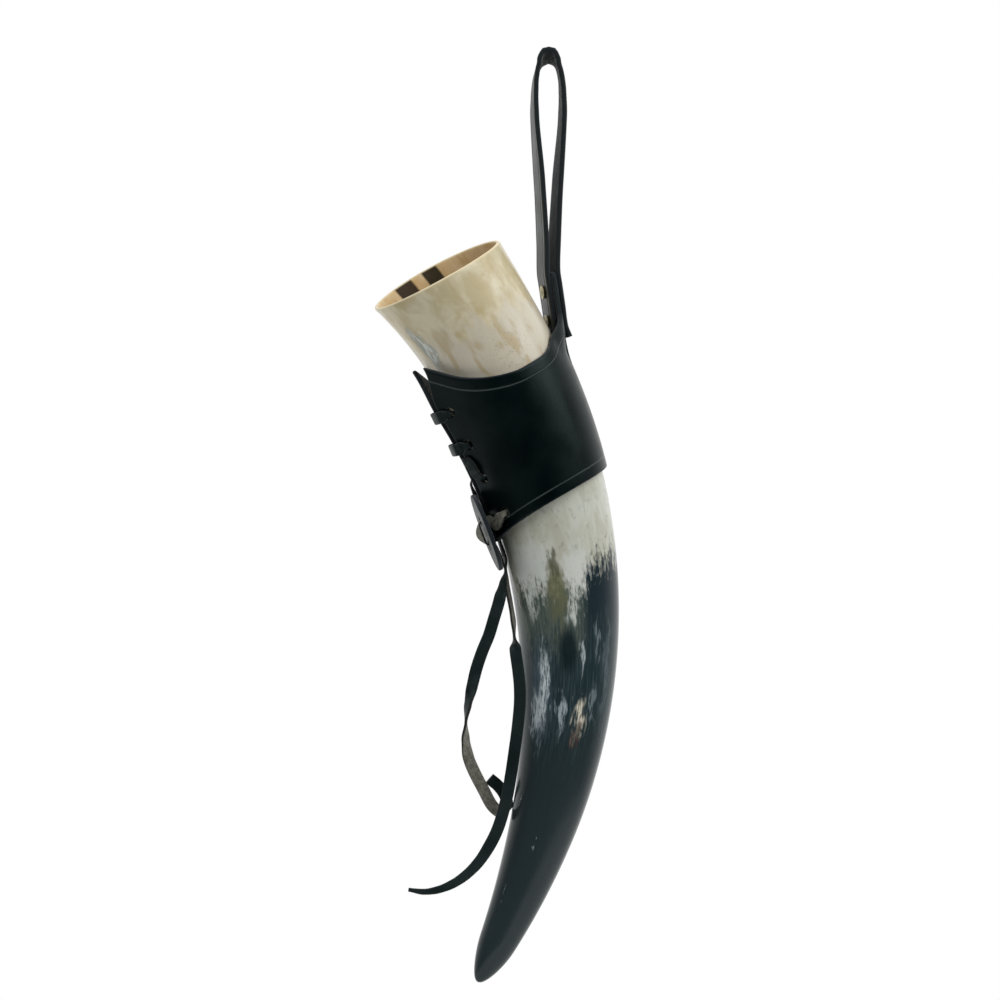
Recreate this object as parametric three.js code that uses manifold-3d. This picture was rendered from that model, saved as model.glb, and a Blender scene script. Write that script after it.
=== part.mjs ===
// Drinking horn in a laced leather holster, hung by a riveted strap loop.
// Millimetres and degrees, +Z up. The horn bends in the XZ plane about a point on
// its hollow side; every piece is placed from that bend centre, and the finished
// group is moved so that the inner top of the strap loop is the origin.

import * as THREE from 'three';
import { mergeVertices } from 'three/addons/utils/BufferGeometryUtils.js';
import loadManifold from 'manifold-3d';

const wasm = await loadManifold();
wasm.setup();

// Horn: distances along its centreline are counted from the middle of the mouth
const bendRadius = 292.5;
const mouthAngle = 40;
const hornLength = 377;
const mouthRadius = 34.7;
const mouthFlare = 2.8;
const flareLength = 55;
const middleRadius = 25.6;
const noseRadius = 9.6;
const noseLength = 22;
const tipStraightening = 3;
const straightLength = 80;
const rimSlope = 10;
const rimLean = 3;
const rimWall = 2;
const floorWall = 7;
const cavityDepth = 235;
const cavityFloorLength = 34;

// Holster sleeve
const sleeveThickness = 2.5;
const hornClearance = 0.3;
const lacingSlack = 2;
const lacingTurn = 7;
const sleeveTop = 59.3;
const cornerRise = 24.3;
const cornerReach = 51;
const edgeCurve = 1.6;
const sleeveBackBottom = 119.5;
const sleeveLacingBottom = 142.5;
const flapGap = 3;
const flapSplay = 11;
const flapAtBottom = 4;
const flapAtFirstHole = 18;
const flapAtTop = 12;

// Tab that the sleeve carries for the strap
const tabRoot = 62;
const tabLean = 8.5;
const tabLength = 38;
const tabWidth = 20;
const tabCorner = 4;
const tabShoulder = 28;
const shoulderRise = 14.5;
const shoulderCurve = 2.3;
const tabBend = 16;
const tabBlend = 12;

// Lace holes and lace
const firstHoleDrop = 26;
const lacePitch = 18.3;
const holeInset = 7;
const lowHoleInset = 13;
const holeDiameter = 5;
const laceWidth = 6;
const laceThickness = 1.5;
const pressedThickness = 1;
const gatheredWidth = 3.2;
const foldedWidth = 4.6;
const laceGap = 0.4;

// Lace bending over the lips of its holes, and its way between them
const lipRun = 0.9;
const lipRise = 0.6;
const lipDrop = 0.7;
const crossInset = 0.6;
const crossLift = 0.4;
const doubledInset = 1.6;
const doubledLift = 0.9;
const foldRun = 2.6;
const foldRow = 1.42;
const backEdgeInset = 0.8;
const backInset = 12;
const backSag = 0.4;
const slantInset = 4.2;
const knotInset = 7.5;
const knotDrop = 5.5;
const knotLift = 1.4;
const rightRootDrop = 8;
const rightRootInset = 1;
const rightLeadInset = 4.5;
const leftRootDrop = 10.5;
const leftLeadDrop = 4;

// Hanger strap
const strapWidth = 18;
const strapThickness = 2.5;
const loopHeight = 107.3;
const loopGap = 11.5;
const loopTurn = 14;
const loopTilt = 17;
const tiltStart = 0.93;
const innerEnd = 4.5;
const outerEnd = 5.5;
const outerFlare = 14;
const strapLead = 6;
const layerGap = 0.3;

// Rivets
const lowerRivet = 13.5;
const rivetSpacing = 15;
const rivetHeadDiameter = 7;
const rivetHeadHeight = 1;
const rivetRimHeight = 0.4;
const rivetPostDiameter = 3;
const rivetClearance = 0.3;

// Lace button
const buttonDiameter = 40;
const buttonThickness = 2.2;
const buttonHoleDiameter = 5;
const buttonHoleSpacing = 13;
const buttonDrop = 135.8;
const buttonStandOff = 37;
const buttonShift = 7;
const buttonTilt = 7.6;
const buttonTurn = 8.5;
const buttonLaceLift = 2.1;

// Facets
const hornSides = 36;
const hornOuterRows = 30;
const hornInnerRows = 18;
const roundSides = 24;
const holeSides = 16;
const sleeveRows = 16;
const sleeveColumnStep = 6.5;
const laceStep = 3;
const strapStep = 3.5;
const tailStep = 9;

const radians = THREE.MathUtils.degToRad;
const lerp = THREE.MathUtils.lerp;
const clamp = THREE.MathUtils.clamp;
const smoothstep = THREE.MathUtils.smoothstep;
const acrossY = new THREE.Vector3(0, 1, 0);

// Mesh helpers

function triangleMesh(positions, triangles) {
  const geometry = new THREE.BufferGeometry();
  geometry.setAttribute('position', new THREE.Float32BufferAttribute(positions, 3));
  geometry.setIndex(triangles);
  return geometry;
}

// A run of equal closed rings, joined side by side and closed by a fan at each end.
function loft(rings, firstPole, lastPole) {
  const count = rings[0].length;
  const positions = [];
  const triangles = [];
  for (const ring of rings) {
    for (const point of ring) {
      positions.push(point.x, point.y, point.z);
    }
  }
  for (let row = 0; row + 1 < rings.length; row += 1) {
    for (let k = 0; k < count; k += 1) {
      const a = row * count + k;
      const b = row * count + (k + 1) % count;
      triangles.push(a, b, b + count, a, b + count, a + count);
    }
  }
  const last = (rings.length - 1) * count;
  const firstIndex = rings.length * count;
  positions.push(firstPole.x, firstPole.y, firstPole.z, lastPole.x, lastPole.y, lastPole.z);
  for (let k = 0; k < count; k += 1) {
    const next = (k + 1) % count;
    triangles.push(firstIndex, next, k);
    triangles.push(firstIndex + 1, last + k, last + next);
  }
  return facingOut(triangleMesh(positions, triangles));
}

// A sheet of leather: two grids of points, inner and outer face, closed along the four edges.
function sheet(inner, outer) {
  const columns = inner.length;
  const rows = inner[0].length;
  const positions = [];
  const triangles = [];
  for (const face of [inner, outer]) {
    for (const column of face) {
      for (const point of column) {
        positions.push(point.x, point.y, point.z);
      }
    }
  }
  const at = (face, i, j) => (face * columns + i) * rows + j;
  const quad = (a, b, c, d) => triangles.push(a, b, c, a, c, d);
  for (let i = 0; i + 1 < columns; i += 1) {
    for (let j = 0; j + 1 < rows; j += 1) {
      quad(at(1, i, j), at(1, i + 1, j), at(1, i + 1, j + 1), at(1, i, j + 1));
      quad(at(0, i, j), at(0, i, j + 1), at(0, i + 1, j + 1), at(0, i + 1, j));
    }
    quad(at(0, i, 0), at(0, i + 1, 0), at(1, i + 1, 0), at(1, i, 0));
    quad(at(1, i, rows - 1), at(1, i + 1, rows - 1), at(0, i + 1, rows - 1), at(0, i, rows - 1));
  }
  for (let j = 0; j + 1 < rows; j += 1) {
    quad(at(0, 0, j), at(1, 0, j), at(1, 0, j + 1), at(0, 0, j + 1));
    const end = columns - 1;
    quad(at(1, end, j), at(0, end, j), at(0, end, j + 1), at(1, end, j + 1));
  }
  return facingOut(triangleMesh(positions, triangles));
}

function signedVolume(geometry) {
  const position = geometry.getAttribute('position');
  const index = geometry.getIndex();
  const corner = [new THREE.Vector3(), new THREE.Vector3(), new THREE.Vector3()];
  let volume = 0;
  for (let k = 0; k < index.count; k += 3) {
    corner.forEach((point, n) => point.fromBufferAttribute(position, index.getX(k + n)));
    volume += corner[0].dot(corner[1].clone().cross(corner[2])) / 6;
  }
  return volume;
}

function facingOut(geometry) {
  if (signedVolume(geometry) < 0) {
    const index = geometry.getIndex();
    for (let k = 0; k < index.count; k += 3) {
      const swap = index.getX(k + 1);
      index.setX(k + 1, index.getX(k + 2));
      index.setX(k + 2, swap);
    }
  }
  return geometry;
}

// Merged positions and whole triangles only, ready to be a solid.
function tidyMesh(source) {
  const bare = source.clone();
  bare.deleteAttribute('normal');
  bare.deleteAttribute('uv');
  const merged = mergeVertices(bare, 1e-4);
  const corners = merged.getIndex().array;
  const kept = [];
  for (let k = 0; k < corners.length; k += 3) {
    const [a, b, c] = [corners[k], corners[k + 1], corners[k + 2]];
    if (a !== b && b !== c && c !== a) {
      kept.push(a, b, c);
    }
  }
  merged.setIndex(kept);
  return merged;
}

function solid(geometry) {
  const mesh = tidyMesh(geometry);
  const vertProperties = new Float32Array(mesh.getAttribute('position').array);
  const triVerts = new Uint32Array(mesh.getIndex().array);
  return new wasm.Manifold(new wasm.Mesh({ numProp: 3, vertProperties, triVerts }));
}

function cut(geometry, tools) {
  let body = solid(geometry);
  for (const tool of tools) {
    body = body.subtract(solid(tool));
  }
  const result = body.getMesh();
  return triangleMesh(Array.from(result.vertProperties), Array.from(result.triVerts));
}

// A lathe profile turned about its own axis, then set with that axis along a direction.
function turned(profile, sides, at, axis) {
  const points = profile.map(([radius, height]) => new THREE.Vector2(radius, height));
  const geometry = tidyMesh(new THREE.LatheGeometry(points, sides));
  geometry.applyQuaternion(new THREE.Quaternion().setFromUnitVectors(acrossY, axis));
  geometry.translate(at.x, at.y, at.z);
  return facingOut(geometry);
}

function punch(diameter, length, at, axis) {
  const radius = diameter / 2;
  const half = length / 2;
  return turned([[0, -half], [radius, -half], [radius, half], [0, half]], holeSides, at, axis);
}

// A flat strip swept through hand-set stations. Each station has a place, the way its
// flat face looks, a width and a thickness; the strip runs smoothly through them.
function strip(stations, step) {
  const curve = new THREE.CatmullRomCurve3(stations.map((s) => s.at), false, 'centripetal');
  const spans = stations.length - 1;
  const rings = [];
  for (let span = 0; span < spans; span += 1) {
    const from = stations[span];
    const to = stations[span + 1];
    const pieces = Math.max(1, Math.round(from.at.distanceTo(to.at) / step));
    const lastPiece = span === spans - 1 ? pieces : pieces - 1;
    for (let k = 0; k <= lastPiece; k += 1) {
      const share = k / pieces;
      const t = (span + share) / spans;
      const at = curve.getPoint(t);
      const along = curve.getTangent(t);
      const look = from.look.clone().lerp(to.look, share);
      const side = along.clone().cross(look).normalize();
      const flat = side.clone().cross(along).normalize();
      const width = lerp(from.width, to.width, share);
      const thick = lerp(from.thick, to.thick, share);
      rings.push(stripSection(at, side, flat, width / 2, thick / 2));
    }
  }
  return loft(rings, stations[0].at, stations[spans].at);
}

function stripSection(at, side, flat, halfWidth, halfThick) {
  const edge = halfThick * 0.5;
  const corners = [
    [halfWidth, edge], [halfWidth - edge, halfThick],
    [edge - halfWidth, halfThick], [-halfWidth, edge],
    [-halfWidth, -edge], [edge - halfWidth, -halfThick],
    [halfWidth - edge, -halfThick], [halfWidth, -edge],
  ];
  return corners.map(([a, b]) => at.clone().addScaledVector(side, a).addScaledVector(flat, b));
}

// Horn

function hornRadius(distance) {
  const middle = hornLength / 2;
  const noseStart = hornLength - noseLength;
  const atMouth = ((distance - middle) * (distance - noseStart)) / (middle * noseStart);
  const atMiddle = (distance * (distance - noseStart)) / (middle * (middle - noseStart));
  const atNose = (distance * (distance - middle)) / (noseStart * (noseStart - middle));
  const coneMouth = mouthRadius - mouthFlare;
  const cone = coneMouth * atMouth + middleRadius * atMiddle + noseRadius * atNose;
  const intoFlare = clamp(1 - distance / flareLength, 0, 1);
  const intoNose = clamp((distance - noseStart) / noseLength, 0, 1);
  return (cone + mouthFlare * intoFlare * intoFlare) * Math.sqrt(1 - intoNose * intoNose);
}

// Towards its tip the horn is straighter than the arc, so it lies further out.
function tipOffset(distance) {
  const intoTip = clamp(1 - (hornLength - distance) / straightLength, 0, 1);
  return tipStraightening * intoTip * intoTip;
}

// Directions at a distance along the horn: out to the convex side, and on towards the tip.
function bendFrame(distance) {
  const angle = radians(mouthAngle) - distance / bendRadius;
  const out = new THREE.Vector3(Math.cos(angle), 0, Math.sin(angle));
  const on = new THREE.Vector3(Math.sin(angle), 0, -Math.cos(angle));
  return { out, on };
}

function bendPoint(distance, outward, across) {
  const { out } = bendFrame(distance);
  return out.multiplyScalar(bendRadius + outward).addScaledVector(acrossY, across);
}

// The mouth is cut a little askew; the skew fades out along the first part of the horn.
function hornRing(distance, radius) {
  const skewLength = 2 * mouthRadius;
  const fade = Math.max(0, 1 - distance / skewLength);
  const ring = [];
  for (let k = 0; k < hornSides; k += 1) {
    const turn = (2 * Math.PI * k) / hornSides;
    const outward = radius * Math.cos(turn);
    const across = radius * Math.sin(turn);
    const skew = Math.tan(radians(rimSlope)) * outward - Math.tan(radians(rimLean)) * across;
    ring.push(bendPoint(distance + fade * skew, outward + tipOffset(distance), across));
  }
  return ring;
}

function cavityRadius(distance) {
  const share = distance / cavityDepth;
  const floorStart = cavityDepth - cavityFloorLength;
  const intoFloor = clamp((distance - floorStart) / cavityFloorLength, 0, 1);
  const wall = lerp(rimWall, floorWall, share * share);
  return (hornRadius(distance) - wall) * Math.sqrt(1 - intoFloor * intoFloor);
}

function makeHorn() {
  const outside = [];
  for (let k = 1; k <= hornOuterRows; k += 1) {
    const distance = hornLength * Math.cos((k * Math.PI) / (2 * hornOuterRows));
    outside.push(hornRing(distance, hornRadius(distance)));
  }
  const inside = [];
  for (let k = 0; k < hornInnerRows; k += 1) {
    const distance = cavityDepth * Math.sin((k * Math.PI) / (2 * hornInnerRows));
    inside.push(hornRing(distance, cavityRadius(distance)));
  }
  const tip = bendPoint(hornLength, tipOffset(hornLength), 0);
  return loft([...outside, ...inside], tip, bendPoint(cavityDepth, 0, 0));
}

// Holster sleeve: a flat cut of leather wrapped round the horn. Its section is an arc
// that hugs the horn and two straight flaps that stand off it and meet at the lacing.

const cornerTop = sleeveTop - cornerRise;
const edgeStretch = bendRadius / (bendRadius - mouthRadius);
const holeRows = [0, 1, 2, 3].map((row) => cornerTop + (firstHoleDrop + row * lacePitch) * edgeStretch);
const holeInsets = [holeInset, holeInset, holeInset, lowHoleInset];
const sleeveTurn = radians(lacingTurn);

function sleeveShape(distance) {
  const radius = hornRadius(distance) + hornClearance + lacingSlack / 2;
  const down = clamp((distance - holeRows[0]) / (sleeveLacingBottom - holeRows[0]), 0, 1.2);
  const laced = smoothstep(distance, cornerTop, holeRows[0] - holeDiameter);
  const flap = distance > holeRows[0]
    ? lerp(flapAtFirstHole, flapAtBottom, down)
    : lerp(flapAtTop, flapAtFirstHole, laced);
  const gap = flapGap + flapSplay * (1 - laced);
  const tangent = Math.PI - Math.asin(gap / (2 * Math.hypot(radius, flap))) - Math.atan2(flap, radius);
  return { radius, flap, tangent, reach: radius * tangent + flap };
}

// The frame of the leather at a distance across it (from the tab's middle line) and along it.
function leatherFrame(across, distance) {
  const { radius, tangent } = sleeveShape(distance);
  const run = across - radius * sleeveTurn;
  const hand = Math.sign(run);
  const turn = hand * Math.min(Math.abs(run) / radius, tangent);
  const straight = hand * Math.max(0, Math.abs(run) - radius * tangent);
  const [c, s] = [Math.cos(turn), Math.sin(turn)];
  const a = radius * c - straight * s - lacingSlack / 2;
  const b = radius * s + straight * c;
  const [ct, st] = [Math.cos(sleeveTurn), Math.sin(sleeveTurn)];
  const { out, on } = bendFrame(distance);
  const at = bendPoint(distance, a * ct - b * st, a * st + b * ct);
  const normal = out.clone().multiplyScalar(c * ct - s * st).addScaledVector(acrossY, c * st + s * ct);
  const around = out.clone().multiplyScalar(-s * ct - c * st).addScaledVector(acrossY, c * ct - s * st);
  return { at, normal, around, on };
}

const tabFoot = bendPoint(tabRoot, hornRadius(tabRoot) + hornClearance, 0);
const tabUp = new THREE.Vector3(-Math.sin(radians(tabLean)), 0, Math.cos(radians(tabLean)));
const tabOut = new THREE.Vector3(Math.cos(radians(tabLean)), 0, Math.sin(radians(tabLean)));

function tabPoint(rise, outward, across) {
  const at = tabFoot.clone().addScaledVector(tabUp, rise);
  return at.addScaledVector(tabOut, outward).addScaledVector(acrossY, across);
}

// A point of the sleeve's leather; round the tab it bends off the horn into the flat tab.
function leatherPoint(across, distance, height) {
  const frame = leatherFrame(across, distance);
  const body = frame.at.addScaledVector(frame.normal, height);
  const upwards = 1 - smoothstep(distance, tabRoot - tabBend / 2, tabRoot + tabBend / 2);
  const sideways = 1 - smoothstep(Math.abs(across), tabWidth / 2, tabWidth / 2 + tabBlend);
  return body.lerp(tabPoint(tabRoot - distance, height, across), upwards * sideways);
}

// Half the sleeve's width on one hand (-1 near, 1 far), measured from the tab's middle line.
function sleeveReach(hand, distance) {
  const { radius, reach } = sleeveShape(distance);
  return reach + hand * radius * sleeveTurn;
}

function topEdge(column, reach) {
  const corner = clamp(1 - (reach - Math.abs(column)) / cornerReach, 0, 1);
  const beyondTab = (Math.abs(column) - tabWidth / 2) / tabShoulder;
  const rounding = clamp((Math.abs(column) - tabWidth / 2) / tabCorner + 1, 0, 1);
  if (beyondTab <= 0) {
    return tabRoot - tabLength + tabCorner * (1 - Math.sqrt(1 - rounding * rounding));
  }
  const intoShoulder = clamp(1 - beyondTab, 0, 1);
  const shoulder = shoulderRise * Math.pow(intoShoulder, shoulderCurve);
  return sleeveTop - cornerRise * Math.pow(corner, edgeCurve) - shoulder;
}

function bottomEdge(column, reach) {
  const share = column / reach;
  return lerp(sleeveBackBottom, sleeveLacingBottom, share * share);
}

function sleeveColumns(hand) {
  const half = tabWidth / 2;
  const tabShares = [0, 0.3, 0.7, 1];
  const shoulderShares = [0.03, 0.12, 0.27, 0.45, 0.63, 0.82, 1];
  const columns = [half - tabCorner];
  tabShares.slice(1).forEach((share) => columns.push(half - tabCorner + share * tabCorner));
  shoulderShares.forEach((share) => columns.push(half + share * tabShoulder));
  const reach = sleeveReach(hand, holeRows[0]);
  const from = half + tabShoulder;
  const steps = Math.ceil((reach - from) / sleeveColumnStep);
  for (let k = 1; k <= steps; k += 1) {
    columns.push(lerp(from, reach, k / steps));
  }
  return columns.map((column) => hand * column);
}

// A column keeps its place near the tab and slides with the flap's edge further out.
function columnAcross(column, distance) {
  const hand = Math.sign(column);
  const fixed = tabWidth / 2 + tabShoulder;
  const beyond = Math.max(0, Math.abs(column) - fixed);
  const stretch = (sleeveReach(hand, distance) - fixed) / (sleeveReach(hand, holeRows[0]) - fixed);
  return hand * (Math.min(Math.abs(column), fixed) + beyond * stretch);
}

function makeSleeve() {
  const columns = [...sleeveColumns(-1).reverse(), 0, ...sleeveColumns(1)];
  const face = (height) => columns.map((column) => {
    const reach = sleeveReach(Math.sign(column), holeRows[0]);
    const points = [];
    for (let row = 0; row <= sleeveRows; row += 1) {
      const distance = lerp(bottomEdge(column, reach), topEdge(column, reach), row / sleeveRows);
      points.push(leatherPoint(columnAcross(column, distance), distance, height));
    }
    return points;
  });
  const tools = [];
  for (const hand of [-1, 1]) {
    holeRows.forEach((distance, row) => {
      const place = flapPlace(hand, distance, holeInsets[row], sleeveThickness / 2);
      tools.push(punch(holeDiameter, 4 * sleeveThickness, place.at, place.out));
    });
  }
  for (const rise of rivetRises) {
    const middle = tabPoint(rise, sleeveThickness / 2, 0);
    tools.push(punch(rivetPostDiameter + 2 * rivetClearance, 4 * sleeveThickness, middle, tabOut));
  }
  return cut(sheet(face(0), face(sleeveThickness)), tools);
}

// A place on a flap: hand -1 near or 1 far, distance along, inset from its edge, height.
function flapPlace(hand, distance, inset, height) {
  const across = hand * (sleeveReach(hand, distance) - inset);
  const frame = leatherFrame(across, distance);
  const at = frame.at.clone().addScaledVector(frame.normal, height);
  return { at, out: frame.normal, inward: frame.around.multiplyScalar(-hand), on: frame.on };
}

// Hanger strap: up the horn side of the tab, round the loop, down the outside of the tab.

const rivetRises = [lowerRivet, lowerRivet + rivetSpacing];
const innerLayer = -layerGap - strapThickness / 2;
const outerLayer = sleeveThickness + layerGap + strapThickness / 2;
const tabTop = tabPoint(tabLength, sleeveThickness / 2, 0);
const loopTop = tabTop.clone().add(new THREE.Vector3(0, 0, loopHeight));

// Shares of the loop's height and half width that each leg passes through.
const loopShares = [
  [0.14, 0.44], [0.41, 0.66], [0.714, 1], [0.82, 1], [0.893, 0.914], [0.947, 0.714], [0.978, 0.471],
];

function strapStation(at, look) {
  return { at, look, width: strapWidth, thick: strapThickness };
}

// A point of the loop by its share of the height over the tab and of the half width. The
// loop turns about its upright line on the way up, and opens towards the viewer at its crown.
function loopStation(hand, heightShare, widthShare) {
  const half = (loopGap + strapThickness) / 2;
  const height = heightShare * (loopHeight + strapThickness / 2);
  const turn = radians(loopTurn) * heightShare * heightShare;
  const tilt = radians(loopTilt) * Math.pow(clamp((heightShare - tiltStart) / (1 - tiltStart), 0, 1), 2);
  const side = new THREE.Vector3(hand * Math.cos(turn), -hand * Math.sin(turn), 0);
  const back = new THREE.Vector3(Math.sin(turn), Math.cos(turn), 0);
  const at = tabTop.clone().addScaledVector(side, half * widthShare);
  at.z += height;
  return strapStation(at, side.multiplyScalar(Math.cos(tilt)).addScaledVector(back, Math.sin(tilt)));
}

function makeStrap() {
  const flare = radians(outerFlare);
  const outerLow = lowerRivet - rivetHeadDiameter / 2;
  const inwards = tabOut.clone().negate();
  const rivetMiddle = lowerRivet + rivetSpacing / 2;
  const up = [
    strapStation(tabPoint(lowerRivet - innerEnd, innerLayer, 0), inwards),
    strapStation(tabPoint(rivetMiddle, innerLayer, 0), inwards),
    strapStation(tabPoint(tabLength - strapLead, innerLayer, 0), inwards),
    strapStation(tabPoint(tabLength, innerLayer, 0), inwards),
    ...loopShares.map((share) => loopStation(-1, ...share)),
  ];
  const [turn, tilt] = [radians(loopTurn), radians(loopTilt)];
  const topLook = new THREE.Vector3(Math.sin(turn), Math.cos(turn), 0).multiplyScalar(Math.sin(tilt));
  topLook.z = Math.cos(tilt);
  const top = strapStation(loopTop.clone().add(new THREE.Vector3(0, 0, strapThickness / 2)), topLook);
  const outerEndRise = outerLow - outerEnd * Math.cos(flare);
  const down = [
    ...loopShares.map((share) => loopStation(1, ...share)).reverse(),
    strapStation(tabPoint(tabLength, outerLayer, 0), tabOut),
    strapStation(tabPoint(tabLength - strapLead, outerLayer, 0), tabOut),
    strapStation(tabPoint(rivetMiddle, outerLayer, 0), tabOut),
    strapStation(tabPoint(outerLow, outerLayer, 0), tabOut),
    strapStation(tabPoint(outerEndRise, outerLayer + outerEnd * Math.sin(flare), 0), tabOut),
  ];
  const tools = rivetRises.map((rise) => punch(rivetPostDiameter + 2 * rivetClearance,
    8 * strapThickness, tabPoint(rise, sleeveThickness / 2, 0), tabOut));
  return cut(strip([...up, top, ...down], strapStep), tools);
}

// Rivets: a domed cap on the horn side takes the end of a domed post from the outside.

function rivetDome(rim) {
  const radius = rivetHeadDiameter / 2;
  return [[radius, 0], [radius, rivetRimHeight], [radius * 0.7, rim], [0, rivetHeadHeight]];
}

const domeShoulder = lerp(rivetRimHeight, rivetHeadHeight, 0.7);
const capSeat = -2 * layerGap - strapThickness;
const postSeat = sleeveThickness + 2 * layerGap + strapThickness;

function makeRivetCap(rise) {
  const socket = rivetPostDiameter / 2 + rivetClearance;
  const profile = [[0, rivetRimHeight], [socket, rivetRimHeight], [socket, 0], ...rivetDome(domeShoulder)];
  return turned(profile, roundSides, tabPoint(rise, capSeat, 0), tabOut.clone().negate());
}

function makeRivetPost(rise) {
  const length = postSeat - capSeat + rivetRimHeight - rivetClearance;
  const post = rivetPostDiameter / 2;
  const profile = [[0, -length], [post, -length], [post, 0], ...rivetDome(domeShoulder)];
  return turned(profile, roundSides, tabPoint(rise, postSeat, 0), tabOut);
}

// Lace button: a leather disc standing on the lacing ridge, with two holes for the lace.

const buttonCentre = bendPoint(buttonDrop, -buttonStandOff, -buttonShift);
const buttonFrame = (() => {
  const lean = radians(mouthAngle) - buttonDrop / bendRadius + radians(buttonTilt);
  const turn = radians(buttonTurn);
  const up = new THREE.Vector3(-Math.sin(lean), 0, Math.cos(lean));
  const flat = new THREE.Vector3(-Math.cos(lean), 0, -Math.sin(lean));
  const out = flat.multiplyScalar(Math.cos(turn)).addScaledVector(acrossY, Math.sin(turn));
  const across = up.clone().cross(out).normalize();
  return { up, out, across };
})();

function buttonPoint(across, up, outward) {
  const { up: upward, out, across: sideways } = buttonFrame;
  const at = buttonCentre.clone().addScaledVector(sideways, across);
  return at.addScaledVector(upward, up).addScaledVector(out, outward);
}

function makeButton() {
  const half = buttonThickness / 2;
  const radius = buttonDiameter / 2;
  const round = half * 0.6;
  const profile = [
    [0, -half], [radius - round, -half], [radius, -half + round],
    [radius, half - round], [radius - round, half], [0, half],
  ];
  const disc = turned(profile, 2 * roundSides, buttonCentre, buttonFrame.out);
  const tools = [-1, 1].map((hand) => punch(buttonHoleDiameter, 4 * buttonThickness,
    buttonPoint(0, (hand * buttonHoleSpacing) / 2, 0), buttonFrame.out));
  return cut(disc, tools);
}

// Lacing: one flat lace, from the right tail's root up through the holes and back down to
// the left tail's root. A look is given as its parts outward, away from the edge and down.

const outsideHeight = sleeveThickness + laceGap + laceThickness / 2;
const insideHeight = -laceGap - pressedThickness / 2;
const towardsEdge = [-1, 0];
const upwards = [0, -1];
const downwards = [0, 1];

function laceStation(hand, distance, inset, height, look, width, thick) {
  const place = flapPlace(hand, distance, inset, height);
  const facing = place.out.clone().multiplyScalar(look[0]);
  facing.addScaledVector(place.inward, look[1]).addScaledVector(place.on, look[2]);
  return { at: place.at, look: facing, width, thick };
}

// Through a hole from outside to inside: the lace lies towards outRun on the outside and
// towards inRun on the inside; outLook 1 turns its grain out on the outside, -1 its flesh.
function holePass(hand, row, outRun, inRun, outLook = 1) {
  const run = holeDiameter / 2 + 1;
  const meeting = outRun[0] * inRun[0] + outRun[1] * inRun[1];
  const straightOn = meeting < -0.3;
  const inLook = straightOn ? outLook : -outLook;
  const outWall = outRun.map((part) => -part * outLook);
  const inWall = straightOn ? outWall : inRun.map((part) => -part * outLook);
  const at = (direction, length, height, look, width, thick) => laceStation(hand,
    holeRows[row] + direction[1] * length * edgeStretch, holeInsets[row] + direction[0] * length,
    height, look, width, thick);
  return [
    at(outRun, run + 1, outsideHeight, [outLook, 0, 0], laceWidth, laceThickness),
    at(outRun, lipRun, sleeveThickness + lipRise, [outLook * 0.6, outWall[0] * 0.8, outWall[1] * 0.8],
      gatheredWidth, pressedThickness),
    at(outRun, 0, sleeveThickness / 2, [0, outWall[0] + inWall[0], outWall[1] + inWall[1]],
      gatheredWidth, pressedThickness),
    at(inRun, lipRun, -lipDrop, [inLook * 0.6, inWall[0] * 0.8, inWall[1] * 0.8],
      gatheredWidth, pressedThickness),
    at(inRun, run, insideHeight, [inLook, 0, 0], gatheredWidth, pressedThickness),
  ];
}

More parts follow.
